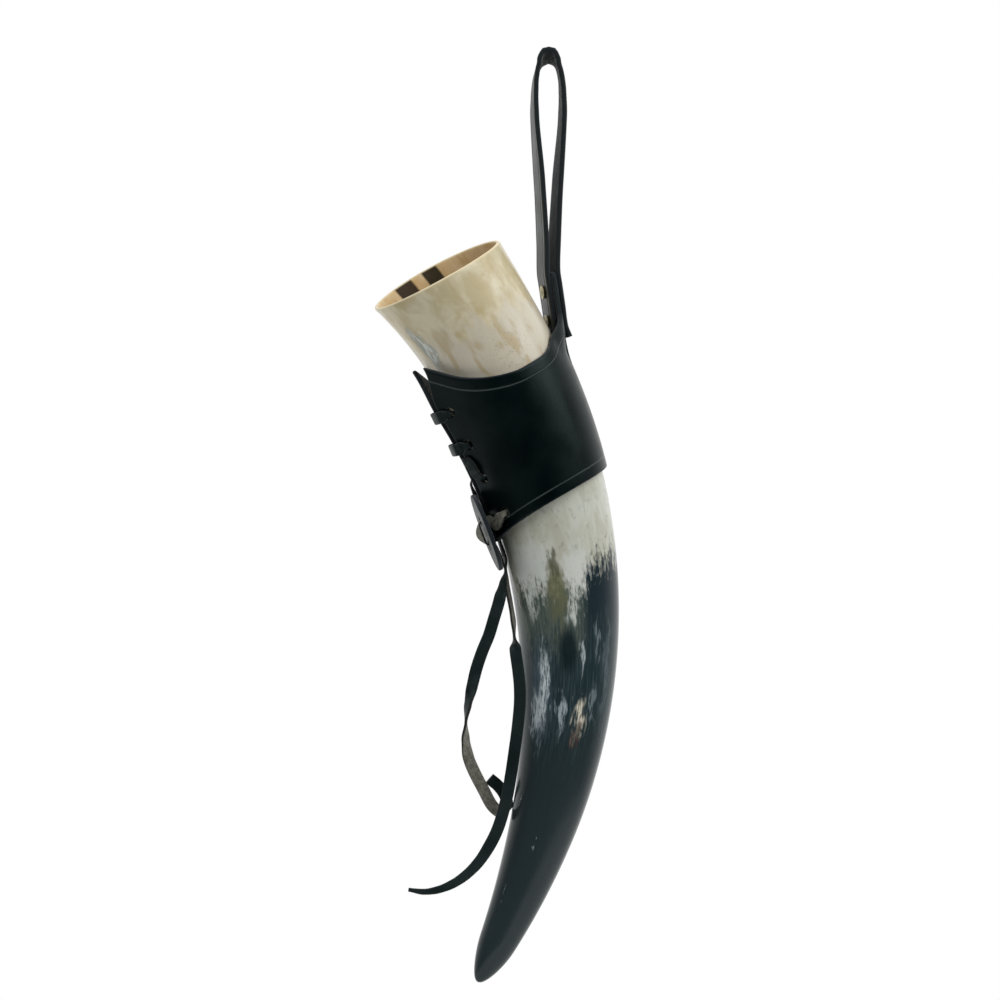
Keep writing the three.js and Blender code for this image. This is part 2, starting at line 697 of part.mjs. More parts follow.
function laceRoute() {
  const [near, far] = [-1, 1];
  const between = (row) => lerp(holeRows[Math.floor(row)], holeRows[Math.ceil(row)], row % 1);
  const inside = (hand, distance, inset, look, depth = 0) => laceStation(hand, distance, inset,
    insideHeight - depth, [look, 0, 0], laceWidth, pressedThickness);
  const outside = (hand, distance, inset, lift, look = 1) => laceStation(hand, distance, inset,
    outsideHeight + lift, [look, 0, 0], laceWidth, laceThickness);
  const button = (up, outward, [upLook, outLook, acrossLook], width, thick, across = 0) => {
    const look = buttonFrame.up.clone().multiplyScalar(upLook).addScaledVector(buttonFrame.out, outLook);
    look.addScaledVector(buttonFrame.across, acrossLook);
    return { at: buttonPoint(across, up, outward), look, width, thick };
  };
  const face = buttonThickness / 2;
  const hole = buttonHoleSpacing / 2;
  const edgeSlope = (flapAtFirstHole - flapAtBottom) / (sleeveLacingBottom - holeRows[0]);
  const clear = 1.4 * laceGap + pressedThickness / 2;
  const fold = [
    [foldRun, -clear, -1, 0], [crossInset, -clear, -1, 0], [-0.8 * clear, -0.6 * clear, -0.6, -0.8],
    [-clear, sleeveThickness / 2, 0, -1],
    [-0.8 * clear, sleeveThickness + 0.6 * clear, 0.6, -0.8], [crossInset, sleeveThickness + clear, 1, 0],
    [foldRun, sleeveThickness + clear, 1, 0],
  ].map(([inset, height, out, inward]) => laceStation(near, between(foldRow) - inset * edgeSlope, inset,
    height, [out, inward, -inward * edgeSlope], foldedWidth, pressedThickness));
  return [
    inside(far, sleeveLacingBottom + rightRootDrop, rightRootInset, 1),
    inside(far, sleeveLacingBottom - rightRootInset, rightLeadInset, 1),
    ...holePass(far, 3, [0.7, -0.7], [-0.6, 0.8]).reverse(),
    outside(far, between(2.5), lowHoleInset, 0),
    ...holePass(far, 2, downwards, [-0.97, -0.25]),
    inside(far, between(1.3), slantInset, -1, backSag),
    inside(far, between(1.04), -backEdgeInset, -1, 2 * backSag),
    ...holePass(near, 1, towardsEdge, towardsEdge).reverse(),
    outside(near, holeRows[1], doubledInset, laceThickness + 2 * laceGap),
    outside(far, holeRows[1], doubledInset, doubledLift),
    ...holePass(far, 1, towardsEdge, upwards),
    ...holePass(far, 0, towardsEdge, downwards).reverse(),
    outside(far, holeRows[0], crossInset, crossLift),
    outside(near, holeRows[0], crossInset, crossLift),
    ...holePass(near, 0, towardsEdge, [0.2, 0.98]),
    inside(near, between(0.6), backInset, -1, backSag),
    inside(near, between(1.02), backInset, -1, backSag),
    inside(near, between(1.28), knotInset, -1, backSag),
    ...fold,
    outside(near, between(1.66), slantInset, crossLift),
    ...holePass(near, 2, [-0.6, -0.8], [0.3, 0.95]),
    ...holePass(near, 3, [-0.85, 0.5], [-0.3, -0.95], -1).reverse(),
    outside(near, holeRows[3] + knotDrop, knotInset, knotLift, -1),
    button(hole + crossLift, -face - doubledInset, [-1, -0.3, 0], gatheredWidth, pressedThickness, lipRun),
    button(hole, 0, [-1, 0, 0], gatheredWidth, pressedThickness),
    button(hole - lipRun, face + lipDrop, [-0.8, -0.6, 0], gatheredWidth, pressedThickness),
    button(0, face + laceGap + buttonLaceLift, [0, -0.8, -0.6], foldedWidth, laceThickness),
    button(lipRun - hole, face + lipDrop, [0.8, -0.6, 0], gatheredWidth, pressedThickness),
    button(-hole, 0, [1, 0, 0], gatheredWidth, pressedThickness),
    button(-hole - lipRun, -face - lipDrop, [0.8, -0.6, 0], gatheredWidth, pressedThickness),
    button(-hole - leftLeadDrop, -face - laceGap - lipDrop, [0, -1, 0], laceWidth, pressedThickness),
    button(-hole - leftRootDrop, -face - laceGap - backEdgeInset, [0, -1, 0], laceWidth, pressedThickness),
  ];
}

// Free ends of the lace. The points are set by hand, counted from the button's middle. Each
// line has the turn of the grain, from the viewer round to the left, then x, y and z; where
// they differ from flat and full width, the tilt of the grain upwards and the lace's width.

const towardsViewer = new THREE.Vector3(-0.24, -0.97, 0);
const towardsLeft = new THREE.Vector3(-0.97, 0.24, 0);
const upTheCurl = new THREE.Vector3(-0.55, 0, 0.83);

const leftTail = [
  [-90, 9.2, -2, -20.5],
  [-60, 7.2, -4, -26],
  [0, 5.2, -3.5, -34.9],
  [0, 2.6, -4, -42.9],
  [0, 0.1, -4, -50.9],
  [0, -3.3, -4, -58.9],
  [0, -6.1, -4, -66.9],
  [25, -8.4, -4, -75.9],
  [60, -10.4, -3.5, -84.9],
  [90, -11.4, -3, -93.9],
  [125, -11.3, -2, -102.9],
  [155, -9.3, 0, -111.9],
  [180, -5.7, 2, -119.4],
  [180, -0.3, 5, -128.4],
  [180, 4.1, 8, -135.4],
  [180, 7.2, 10, -138.4, 15],
  [180, 10.6, 12.5, -140.2, 45],
  [180, 13.6, 15.5, -139.6, 85],
  [0, 15.2, 18.5, -136.2, 45],
  [0, 13.9, 20, -131.4, 15],
  [0, 10.7, 20, -127.2, 5],
  [0, 6.1, 19, -123.5],
];

const rightTail = [
  [90, 11.1, 5.8, -18],
  [108, 11.2, 5, -24],
  [108, 12.3, 2, -33.9],
  [108, 12.9, -2, -42.9],
  [90, 13.2, -3.5, -51.9],
  [0, 13.6, -5, -59.9],
  [0, 14.5, -6, -67.9],
  [0, 15.2, -6.5, -75.9],
  [0, 15.3, -6.5, -83.9],
  [0, 14.8, -6, -91.9],
  [0, 14, -5.5, -99.9],
  [0, 12.7, -5, -109.9],
  [0, 11.3, -4.5, -119.9],
  [0, 9.6, -4, -129.9],
  [0, 7, -4, -139.9],
  [0, 4.2, -4, -147.9],
  [0, 0.6, -4, -154.9],
  [0, -4.8, -4, -162.9, 0, 5.5],
  [0, -10.8, -4, -168.9, 0, 5],
  [0, -17.5, -4, -173.4, 0, 4.5],
  [0, -25.2, -4, -176.4, 0, 3.8],
  [0, -32.9, -4, -177.4, 0, 3],
  [0, -40.7, -4, -176.2, 0, 2],
];

// A tail goes on from the end of the held lace, a lace gap further along it.
function makeTail(before, end, points) {
  const along = end.at.clone().sub(before.at).normalize();
  const rootAt = (length) => ({ ...end, at: end.at.clone().addScaledVector(along, length) });
  const stations = points.map(([turn, x, y, z, tilt = 0, width = laceWidth]) => {
    const level = towardsViewer.clone().multiplyScalar(Math.cos(radians(turn)));
    level.addScaledVector(towardsLeft, Math.sin(radians(turn))).multiplyScalar(Math.cos(radians(tilt)));
    const look = level.addScaledVector(upTheCurl, Math.sin(radians(tilt)));
    const at = buttonCentre.clone().add(new THREE.Vector3(x, y, z));
    return { at, look, width, thick: laceThickness };
  });
  return strip([rootAt(laceGap), rootAt(laceGap + laceThickness), ...stations], tailStep);
}

function piece(name, geometry, material) {
  const mesh = new THREE.Mesh(geometry, material);
  mesh.name = name;
  return mesh;
}

const hornKeratin = new THREE.MeshStandardMaterial({ color: '#8f8d80', roughness: 0.22, metalness: 0 });
const blackLeather = new THREE.MeshStandardMaterial({ color: '#1c2020', roughness: 0.5, metalness: 0 });
const laceLeather = new THREE.MeshStandardMaterial({ color: '#22211f', roughness: 0.7, metalness: 0 });
const antiqueBrass = new THREE.MeshStandardMaterial({ color: '#6d5a34', roughness: 0.4, metalness: 1 });

const assembly = new THREE.Group();
assembly.add(piece('horn', makeHorn(), hornKeratin));
assembly.add(piece('holster_sleeve', makeSleeve(), blackLeather));
assembly.add(piece('hanger_strap', makeStrap(), blackLeather));
['lower', 'upper'].forEach((place, k) => {
  assembly.add(piece(`rivet_${place}_cap`, makeRivetCap(rivetRises[k]), antiqueBrass));
  assembly.add(piece(`rivet_${place}_post`, makeRivetPost(rivetRises[k]), antiqueBrass));
});
assembly.add(piece('lace_button', makeButton(), blackLeather));
const lace = laceRoute();
const last = lace.length - 1;
assembly.add(piece('lacing', strip(lace, laceStep), laceLeather));
assembly.add(piece('lace_tail_left', makeTail(lace[last - 1], lace[last], leftTail), laceLeather));
assembly.add(piece('lace_tail_right', makeTail(lace[1], lace[0], rightTail), laceLeather));
assembly.position.copy(loopTop).negate();

export default assembly;
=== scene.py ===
import math

import bpy
import numpy as np
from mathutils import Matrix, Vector


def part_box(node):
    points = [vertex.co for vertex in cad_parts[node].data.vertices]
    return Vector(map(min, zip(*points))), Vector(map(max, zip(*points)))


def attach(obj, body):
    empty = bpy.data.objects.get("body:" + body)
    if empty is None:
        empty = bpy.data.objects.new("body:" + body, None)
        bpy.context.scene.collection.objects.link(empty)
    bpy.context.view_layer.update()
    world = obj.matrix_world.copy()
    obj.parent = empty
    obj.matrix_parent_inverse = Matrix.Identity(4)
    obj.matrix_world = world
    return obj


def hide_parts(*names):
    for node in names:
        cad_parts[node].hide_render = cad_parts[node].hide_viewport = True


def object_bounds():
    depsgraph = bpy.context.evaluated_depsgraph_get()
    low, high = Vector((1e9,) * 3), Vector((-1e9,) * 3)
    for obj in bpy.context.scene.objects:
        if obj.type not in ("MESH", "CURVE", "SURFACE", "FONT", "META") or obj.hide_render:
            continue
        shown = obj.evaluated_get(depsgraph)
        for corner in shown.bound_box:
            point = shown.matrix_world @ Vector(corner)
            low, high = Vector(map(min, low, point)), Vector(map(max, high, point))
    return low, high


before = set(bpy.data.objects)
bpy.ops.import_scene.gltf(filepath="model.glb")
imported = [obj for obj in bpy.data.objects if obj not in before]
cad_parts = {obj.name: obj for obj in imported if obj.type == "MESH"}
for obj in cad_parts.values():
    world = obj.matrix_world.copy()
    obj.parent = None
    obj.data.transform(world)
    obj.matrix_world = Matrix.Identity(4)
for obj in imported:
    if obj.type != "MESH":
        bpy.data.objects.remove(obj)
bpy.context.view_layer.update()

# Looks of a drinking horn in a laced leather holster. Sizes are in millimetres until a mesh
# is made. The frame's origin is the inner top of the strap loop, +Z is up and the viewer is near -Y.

MM = 0.001
# Points this near in millimetres are one point
SEAM = 0.001
# A piece's cut map holds the distance from its cut edge in millimetres over this, and its side
CUT_SCALE = 100


# Small helpers

def clamp(x, low=0.0, high=1.0):
    return max(low, min(high, x))


def lerp(a, b, share):
    return a + (b - a) * share


def smooth(x, low, high):
    t = clamp((x - low) / (high - low))
    return t * t * (3 - 2 * t)


def srgb(text):
    """A hex colour as the linear RGBA that shaders take."""
    parts = [int(text[k:k + 2], 16) / 255 for k in (1, 3, 5)]
    return [c / 12.92 if c < 0.04045 else ((c + 0.055) / 1.055) ** 2.4 for c in parts] + [1]


def face_out(mesh):
    """Turns a closed mesh's normals outwards and shades it smooth."""
    volume = sum(p.center.dot(p.normal) * p.area for p in mesh.polygons)
    if volume < 0:
        mesh.flip_normals()
    mesh.shade_smooth()


def make_piece(name, points, faces, material, cut=None):
    """A smooth mesh object from points in millimetres. The cut map has (edge distance, side) per point."""
    mesh = bpy.data.meshes.new(name)
    mesh.from_pydata([Vector(p) * MM for p in points], [], faces)
    if cut is not None:
        layer = mesh.uv_layers.new(name="cut")
        for loop in mesh.loops:
            layer.data[loop.index].uv = cut[loop.vertex_index]
    mesh.update()
    face_out(mesh)
    mesh.materials.append(material)
    piece = bpy.data.objects.new(name, mesh)
    bpy.context.scene.collection.objects.link(piece)
    return piece


def stands_for(piece, body, slot, *nodes):
    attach(piece, body)
    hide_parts(*nodes)


def closed_grid(rings, first_pole=None, last_pole=None):
    """Points and faces of a run of equal closed rings, with a fan at each end."""
    count = len(rings[0])
    points = [p for ring in rings for p in ring]
    faces = []
    for row in range(len(rings) - 1):
        for k in range(count):
            a = row * count + k
            b = row * count + (k + 1) % count
            faces.append((a, b, b + count, a + count))
    for pole, start in ((first_pole, 0), (last_pole, (len(rings) - 1) * count)):
        if pole is not None:
            points.append(pole)
            middle = len(points) - 1
            for k in range(count):
                fan = (middle, start + k, start + (k + 1) % count)
                faces.append(fan if start else fan[::-1])
    return points, faces


def spline(places, t):
    """A point and a direction of the centripetal curve through the places, t in spans."""
    span = min(int(t), len(places) - 2)
    u = t - span
    p1, p2 = places[span], places[span + 1]
    p0 = places[span - 1] if span > 0 else p1 * 2 - p2
    p3 = places[span + 2] if span + 2 < len(places) else p2 * 2 - p1
    d0 = math.sqrt((p1 - p0).length)
    d1 = math.sqrt((p2 - p1).length)
    d2 = math.sqrt((p3 - p2).length)
    m1 = ((p1 - p0) / d0 - (p2 - p0) / (d0 + d1) + (p2 - p1) / d1) * d1
    m2 = ((p2 - p1) / d1 - (p3 - p1) / (d1 + d2) + (p3 - p2) / d2) * d1
    c2 = (p2 - p1) * 3 - m1 * 2 - m2
    c3 = (p1 - p2) * 2 + m1 + m2
    return p1 + m1 * u + c2 * u * u + c3 * u ** 3, (m1 + c2 * 2 * u + c3 * 3 * u * u).normalized()


# Share of a strip's half thickness that its edges are worn round by
WORN_EDGE = 0.75


def strip_section(half_width, half_thick):
    """Corners of a flat lace or strap with worn edges, as (across, through)."""
    edge = half_thick * WORN_EDGE
    arc = [(half_width - edge + edge * math.cos(a), half_thick - edge + edge * math.sin(a))
           for a in (0, math.pi / 6, math.pi / 3, math.pi / 2)]
    flat = [(half_width * k, half_thick) for k in (0.6, 0.3, 0, -0.3, -0.6)]
    top = arc + flat + [(-a, b) for a, b in reversed(arc)]
    return top + [(-a, -b) for a, b in top]


def make_strip(name, stations, step, material):
    """A flat strip through stations (place, look, width, thickness), with its grain on the look side."""
    places = [s[0] for s in stations]
    rings = []
    cut = []
    for span in range(len(stations) - 1):
        _, look0, width0, thick0 = stations[span]
        _, look1, width1, thick1 = stations[span + 1]
        pieces = max(2, round((places[span + 1] - places[span]).length / step))
        last = pieces if span == len(stations) - 2 else pieces - 1
        for k in range(last + 1):
            share = k / pieces
            at, along = spline(places, span + share)
            eased = share * share * (3 - 2 * share)
            side = along.cross(look0.lerp(look1, eased)).normalized()
            flat = side.cross(along).normalized()
            half_width = lerp(width0, width1, eased) / 2
            half_thick = lerp(thick0, thick1, eased) / 2
            ring = strip_section(half_width, half_thick)
            rings.append([at + side * a + flat * b for a, b in ring])
            cut += [((half_width - abs(a)) / CUT_SCALE, b / half_thick) for a, b in ring]
    points, faces = closed_grid(rings, places[0], places[-1])
    return make_piece(name, points, faces, material, cut + [(0, 0), (0, 0)])


def turned(profile, sides, at, axis):
    """Points and faces of a lathe profile (radius, height) that starts and ends on its axis."""
    spin = Vector((0, 0, 1)).rotation_difference(axis)

    def place(r, h, a):
        return at + spin @ Vector((r * math.cos(a), r * math.sin(a), h))

    rings = [[place(r, h, 2 * math.pi * k / sides) for k in range(sides)] for r, h in profile[1:-1]]
    return closed_grid(rings, place(0, profile[0][1], 0), place(0, profile[-1][1], 0))


# Horn: its middle line is an arc, and distances along it count from the mouth

BEND = 292.5
MOUTH_ANGLE = math.radians(40)
HORN_LENGTH = 377
MOUTH_RADIUS = 34.7
MOUTH_FLARE = 2.8
FLARE_LENGTH = 55
MIDDLE_RADIUS = 25.6
NOSE_RADIUS = 9.6
NOSE_LENGTH = 22
TIP_STRAIGHTENING = 3
STRAIGHT_LENGTH = 80
RIM_SLOPE = math.tan(math.radians(10))
RIM_LEAN = math.tan(math.radians(3))
RIM_WALL = 2
FLOOR_WALL = 7
CAVITY_DEPTH = 235
CAVITY_FLOOR = 34

# Holster sleeve and its tab
LEATHER = 2.5
HORN_CLEARANCE = 0.3
SLACK = 2
LACING_TURN = math.radians(7)
SLEEVE_TOP = 59.3
CORNER_RISE = 24.3
CORNER_REACH = 51
EDGE_CURVE = 1.6
BACK_BOTTOM = 119.5
LACING_BOTTOM = 142.5
FLAP_GAP = 3
FLAP_SPLAY = 11
FLAP_BOTTOM = 4
FLAP_FIRST_HOLE = 18
FLAP_TOP = 12
TAB_ROOT = 62
TAB_LEAN = math.radians(8.5)
TAB_LENGTH = 38
TAB_WIDTH = 20
TAB_CORNER = 4
TAB_SHOULDER = 28
SHOULDER_RISE = 14.5
SHOULDER_CURVE = 2.3
TAB_BEND = 16
TAB_BLEND = 12

# Lace
FIRST_HOLE_DROP = 26
LACE_PITCH = 18.3
HOLE = 5
LACE_WIDTH = 6
LACE_THICK = 1.5
PRESSED = 1
GATHERED = 3.2
FOLDED = 4.6
LACE_GAP = 0.4
GAP = 0.3

# Strap and rivets
STRAP_WIDTH = 18
STRAP_THICK = 2.5
LOOP_HEIGHT = 107.3
LOOP_GAP = 11.5
LOOP_TURN = math.radians(14)
LOOP_TILT = math.radians(17)
TILT_START = 0.93
INNER_END = 4.5
OUTER_END = 5.5
OUTER_FLARE = math.radians(14)
STRAP_LEAD = 6
LOWER_RIVET = 13.5
RIVET_SPACING = 15
RIVET_HEAD = 7
RIVET_RISES = (LOWER_RIVET, LOWER_RIVET + RIVET_SPACING)
RIVET_HOLE = 3.6
RIVET_RIM = 0.35
RIVET_RIM_LIFT = 0.45
RIVET_CROWN = 0.8
RIVET_SOCKET = 1.8
SOCKET_DEPTH = 0.4
RIVET_POST = 1.5
POST_INTO_SOCKET = 0.1

# Lengths of the steps that strips are made in
STRAP_STEP = 1.2
TAIL_STEP = 0.8
LACE_STEP = 0.6

# Button
BUTTON = 40
BUTTON_THICK = 2.2
BUTTON_WORN = 0.55
BUTTON_RAW = 0.4
BUTTON_SIDES = 96
BUTTON_HOLES = 13
BUTTON_DROP = 135.8
BUTTON_STAND_OFF = 37
BUTTON_SHIFT = 7
BUTTON_TILT = math.radians(7.6)
BUTTON_TURN = math.radians(8.5)

Y = Vector((0, 1, 0))


def horn_radius(s):
    middle = HORN_LENGTH / 2
    nose = HORN_LENGTH - NOSE_LENGTH
    cone = (MOUTH_RADIUS - MOUTH_FLARE) * (s - middle) * (s - nose) / (middle * nose)
    cone += MIDDLE_RADIUS * s * (s - nose) / (middle * (middle - nose))
    cone += NOSE_RADIUS * s * (s - middle) / (nose * (nose - middle))
    cone += MOUTH_FLARE * clamp(1 - s / FLARE_LENGTH) ** 2
    into = clamp((s - nose) / NOSE_LENGTH)
    return cone * math.sqrt(1 - into * into)


def bend_out(s):
    angle = MOUTH_ANGLE - s / BEND
    return Vector((math.cos(angle), 0, math.sin(angle)))


def bend_on(s):
    angle = MOUTH_ANGLE - s / BEND
    return Vector((math.sin(angle), 0, -math.cos(angle)))


def bend_place(s, outward, across):
    """A place counted from the bend's centre."""
    return bend_out(s) * (BEND + outward) + Y * across


TAB_FOOT = bend_place(TAB_ROOT, horn_radius(TAB_ROOT) + HORN_CLEARANCE, 0)
TAB_UP = Vector((-math.sin(TAB_LEAN), 0, math.cos(TAB_LEAN)))
TAB_OUT = Vector((math.cos(TAB_LEAN), 0, math.sin(TAB_LEAN)))


def tab_place(rise, outward, across=0):
    return TAB_FOOT + TAB_UP * rise + TAB_OUT * outward + Y * across


TAB_TOP = tab_place(TAB_LENGTH, LEATHER / 2)
LOOP_TOP = TAB_TOP + Vector((0, 0, LOOP_HEIGHT))
SHIFT = -LOOP_TOP


# Camera: level, from the mouth's side, far off with a long lens. PICTURE is the width it sees
VIEW = math.radians(-14)
DISTANCE = 2200
PICTURE = 500
RIGHT = Vector((math.cos(VIEW), math.sin(VIEW), 0))
BACK = Vector((math.sin(VIEW), -math.cos(VIEW), 0))
AIM_RIGHT = -24.3
AIM_UP = -221.14
SENSOR = 36
aim = RIGHT * AIM_RIGHT + Vector((0, 0, AIM_UP))
camera = bpy.data.objects.new("camera", bpy.data.cameras.new("camera"))
bpy.context.scene.collection.objects.link(camera)
camera.location = (aim + BACK * DISTANCE) * MM
camera.rotation_mode = "QUATERNION"
camera.rotation_quaternion = (-BACK).to_track_quat("-Z", "Y")
camera.data.sensor_width = SENSOR
camera.data.lens = SENSOR * DISTANCE / PICTURE
camera.data.clip_end = 20
bpy.context.scene.camera = camera


# Node trees: one function adds a node of any kind. Two sets of settings recur, those of a step with
# soft ends and of a mix of two colours

SMOOTH = {"interpolation_type": "SMOOTHSTEP"}
COLOURS = {"out": 2, "data_type": "RGBA"}


def node(tree, kind, inputs=(), out=0, **settings):
    """Adds one node with its settings. An input is a constant or another node's output."""
    made = tree.nodes.new(kind)
    for key, value in settings.items():
        setattr(made, key, value)
    for key, value in inputs.items() if isinstance(inputs, dict) else enumerate(inputs):
        if isinstance(value, bpy.types.NodeSocket):
            tree.links.new(value, made.inputs[key])
        else:
            made.inputs[key].default_value = value
    return made.outputs[out] if made.outputs else None


def new_tree(name, sizes, **others):
    """A geometry tree with a named input for each size and each other kind of value, and their sockets."""
    tree = bpy.data.node_groups.new(name, "GeometryNodeTree")
    kinds = {**others, **dict.fromkeys(sizes, "Float")}
    for title, kind in kinds.items():
        tree.interface.new_socket(title, in_out="INPUT", socket_type=f"NodeSocket{kind}")
    tree.interface.new_socket("Geometry", in_out="OUTPUT", socket_type="NodeSocketGeometry")
    return tree, tree.nodes.new("NodeGroupInput").outputs


def end_tree(tree, shape, material):
    """Ends a geometry tree in one real mesh of one material."""
    shape = node(tree, "GeometryNodeRealizeInstances", [shape])
    shape = node(tree, "GeometryNodeSetMaterial", {"Geometry": shape, "Material": material})
    node(tree, "NodeGroupOutput", [shape])


def grown(name, tree, values, start=None):
    """The plain mesh piece that a geometry tree makes with these values, from a start mesh or none."""
    piece = bpy.data.objects.new(name, start or bpy.data.meshes.new(name))
    bpy.context.scene.collection.objects.link(piece)
    change = piece.modifiers.new("grown", "NODES")
    change.node_group = tree
    for item in tree.interface.items_tree:
        if item.in_out == "INPUT" and item.name in values:
            value = values[item.name]
            change[item.identifier] = float(value) if item.socket_type == "NodeSocketFloat" else value
    graph = bpy.context.evaluated_depsgraph_get()
    made = bpy.data.meshes.new_from_object(piece.evaluated_get(graph))
    piece.modifiers.clear()
    # A shape that starts from a grid brings an empty material along
    if made.materials[0] is None:
        made.materials.pop(index=0)
    begun = piece.data
    piece.data = made
    bpy.data.meshes.remove(begun)
    face_out(made)
    return piece


def lathe(tree, profile, sides):
    """A closed turned shape from its profile of (radius, height), and the field of its radius."""
    columns = sides + 1
    index = node(tree, "GeometryNodeInputIndex")
    row = node(tree, "ShaderNodeMath", [index, columns], operation="DIVIDE")
    row = node(tree, "ShaderNodeMath", [row], operation="FLOOR")
    column = node(tree, "ShaderNodeMath", [index, columns], operation="MODULO")
    turn = node(tree, "ShaderNodeMath", [column, 2 * math.pi / sides], operation="MULTIPLY")
    radius, height = 0.0, 0.0
    for number, (far, high) in enumerate(profile):
        here = node(tree, "ShaderNodeMath", [row, number, 0.5], operation="COMPARE")
        radius = node(tree, "ShaderNodeMath", [here, far, radius], operation="MULTIPLY_ADD")
        height = node(tree, "ShaderNodeMath", [here, high, height], operation="MULTIPLY_ADD")
    cosine = node(tree, "ShaderNodeMath", [turn], operation="COSINE")
    sine = node(tree, "ShaderNodeMath", [turn], operation="SINE")
    x = node(tree, "ShaderNodeMath", [radius, cosine], operation="MULTIPLY")
    y = node(tree, "ShaderNodeMath", [radius, sine], operation="MULTIPLY")
    place = node(tree, "ShaderNodeCombineXYZ", [x, y, height])
    place = node(tree, "ShaderNodeVectorMath", {"Vector": place, "Scale": MM}, operation="SCALE")
    grid = node(tree, "GeometryNodeMeshGrid", [1, 1, len(profile), columns])
    shape = node(tree, "GeometryNodeSetPosition", {"Geometry": grid, "Position": place})
    return node(tree, "GeometryNodeMergeByDistance", {"Geometry": shape, "Distance": SEAM * MM}), radius


HOLE_SIDES = 28
HOLE_SHARP = math.radians(50)
# The punch from its end to its straight part: how far it is wider than the hole's radius, and
# above the leather's face
PUNCH_LIP = ((1.2, 0.8), (0.25, 0), (0.05, -0.3), (0, -0.6))
# The wall of a hole is mapped as raw leather: on neither side, and this far from an edge
WALL_DISTANCE = 3


def make_punch_tree(material):
    """Takes a punch out of a piece of leather at each point of a mesh. The punch's ends widen a little,
    so that the holes' lips are worn round."""
    tree, given = new_tree("punched", ("Diameter", "Thickness"), Places="Geometry", Leather="Object")
    r = node(tree, "ShaderNodeMath", [given["Diameter"], 0.5], operation="MULTIPLY")
    h = node(tree, "ShaderNodeMath", [given["Thickness"], 0.5], operation="MULTIPLY")
    upper, lower = [], []
    for wider, higher in PUNCH_LIP:
        radius = node(tree, "ShaderNodeMath", [r, wider], operation="ADD")
        height = node(tree, "ShaderNodeMath", [h, higher], operation="ADD")
        depth = node(tree, "ShaderNodeMath", [height, -1], operation="MULTIPLY")
        upper.append((radius, height))
        lower.insert(0, (radius, depth))
    profile = [(0, upper[0][1])] + upper + lower + [(0, lower[-1][1])]
    punch, _ = lathe(tree, profile, HOLE_SIDES)
    raw = {"Geometry": punch, "Name": "cut", "Value": (WALL_DISTANCE / CUT_SCALE, 0, 0)}
    punch = node(tree, "GeometryNodeStoreNamedAttribute", raw, data_type="FLOAT2", domain="CORNER")
    axis = node(tree, "GeometryNodeInputNamedAttribute", ["axis"], data_type="FLOAT_VECTOR")
    facing = node(tree, "FunctionNodeAlignRotationToVector", {"Vector": axis}, axis="Z")
    punches = node(tree, "GeometryNodeInstanceOnPoints",
                   {"Points": given["Places"], "Instance": punch, "Rotation": facing})
    punches = node(tree, "GeometryNodeRealizeInstances", [punches])
    punches = node(tree, "GeometryNodeRemoveAttribute", {"Geometry": punches, "Name": "axis"})
    leather_mesh = node(tree, "GeometryNodeObjectInfo", [given["Leather"]], "Geometry")
    shape = node(tree, "GeometryNodeMeshBoolean", [leather_mesh, punches], operation="DIFFERENCE",
                 solver="EXACT")
    # Points that the cut leaves almost on one another become one
    shape = node(tree, "GeometryNodeMergeByDistance", {"Geometry": shape, "Distance": SEAM * MM})
    end_tree(tree, shape, material)
    return tree


def punched(piece, holes, diameter, thickness):
    """The piece with its holes, given as (place, axis) in millimetres."""
    places = bpy.data.meshes.new("places")
    places.from_pydata([at * MM for at, _ in holes], [], [])
    layer = places.attributes.new("axis", "FLOAT_VECTOR", "POINT")
    layer.data.foreach_set("vector", [part for _, axis in holes for part in axis])
    name = piece.name
    piece.name = "unpunched"
    tree = make_punch_tree(piece.data.materials[0])
    made = grown(name, tree, {"Diameter": diameter, "Thickness": thickness, "Leather": piece}, places)
    bpy.data.objects.remove(piece)
    made.data.set_sharp_from_angle(angle=HOLE_SHARP)
    return made


def new_material(name):
    material = bpy.data.materials.new(name)
    material.use_nodes = True
    material.node_tree.nodes.clear()
    return material, material.node_tree


def end_material(tree, finish):
    """Ends a material in one surface. Its finish has a constant or a socket for each input."""
    surface = node(tree, "ShaderNodeBsdfPrincipled", finish)
    node(tree, "ShaderNodeOutputMaterial", {"Surface": surface})


# Relief of the leather in millimetres
PORE_RELIEF = 0.05
NAP_RELIEF = 0.25
CREASE_RELIEF = -0.28


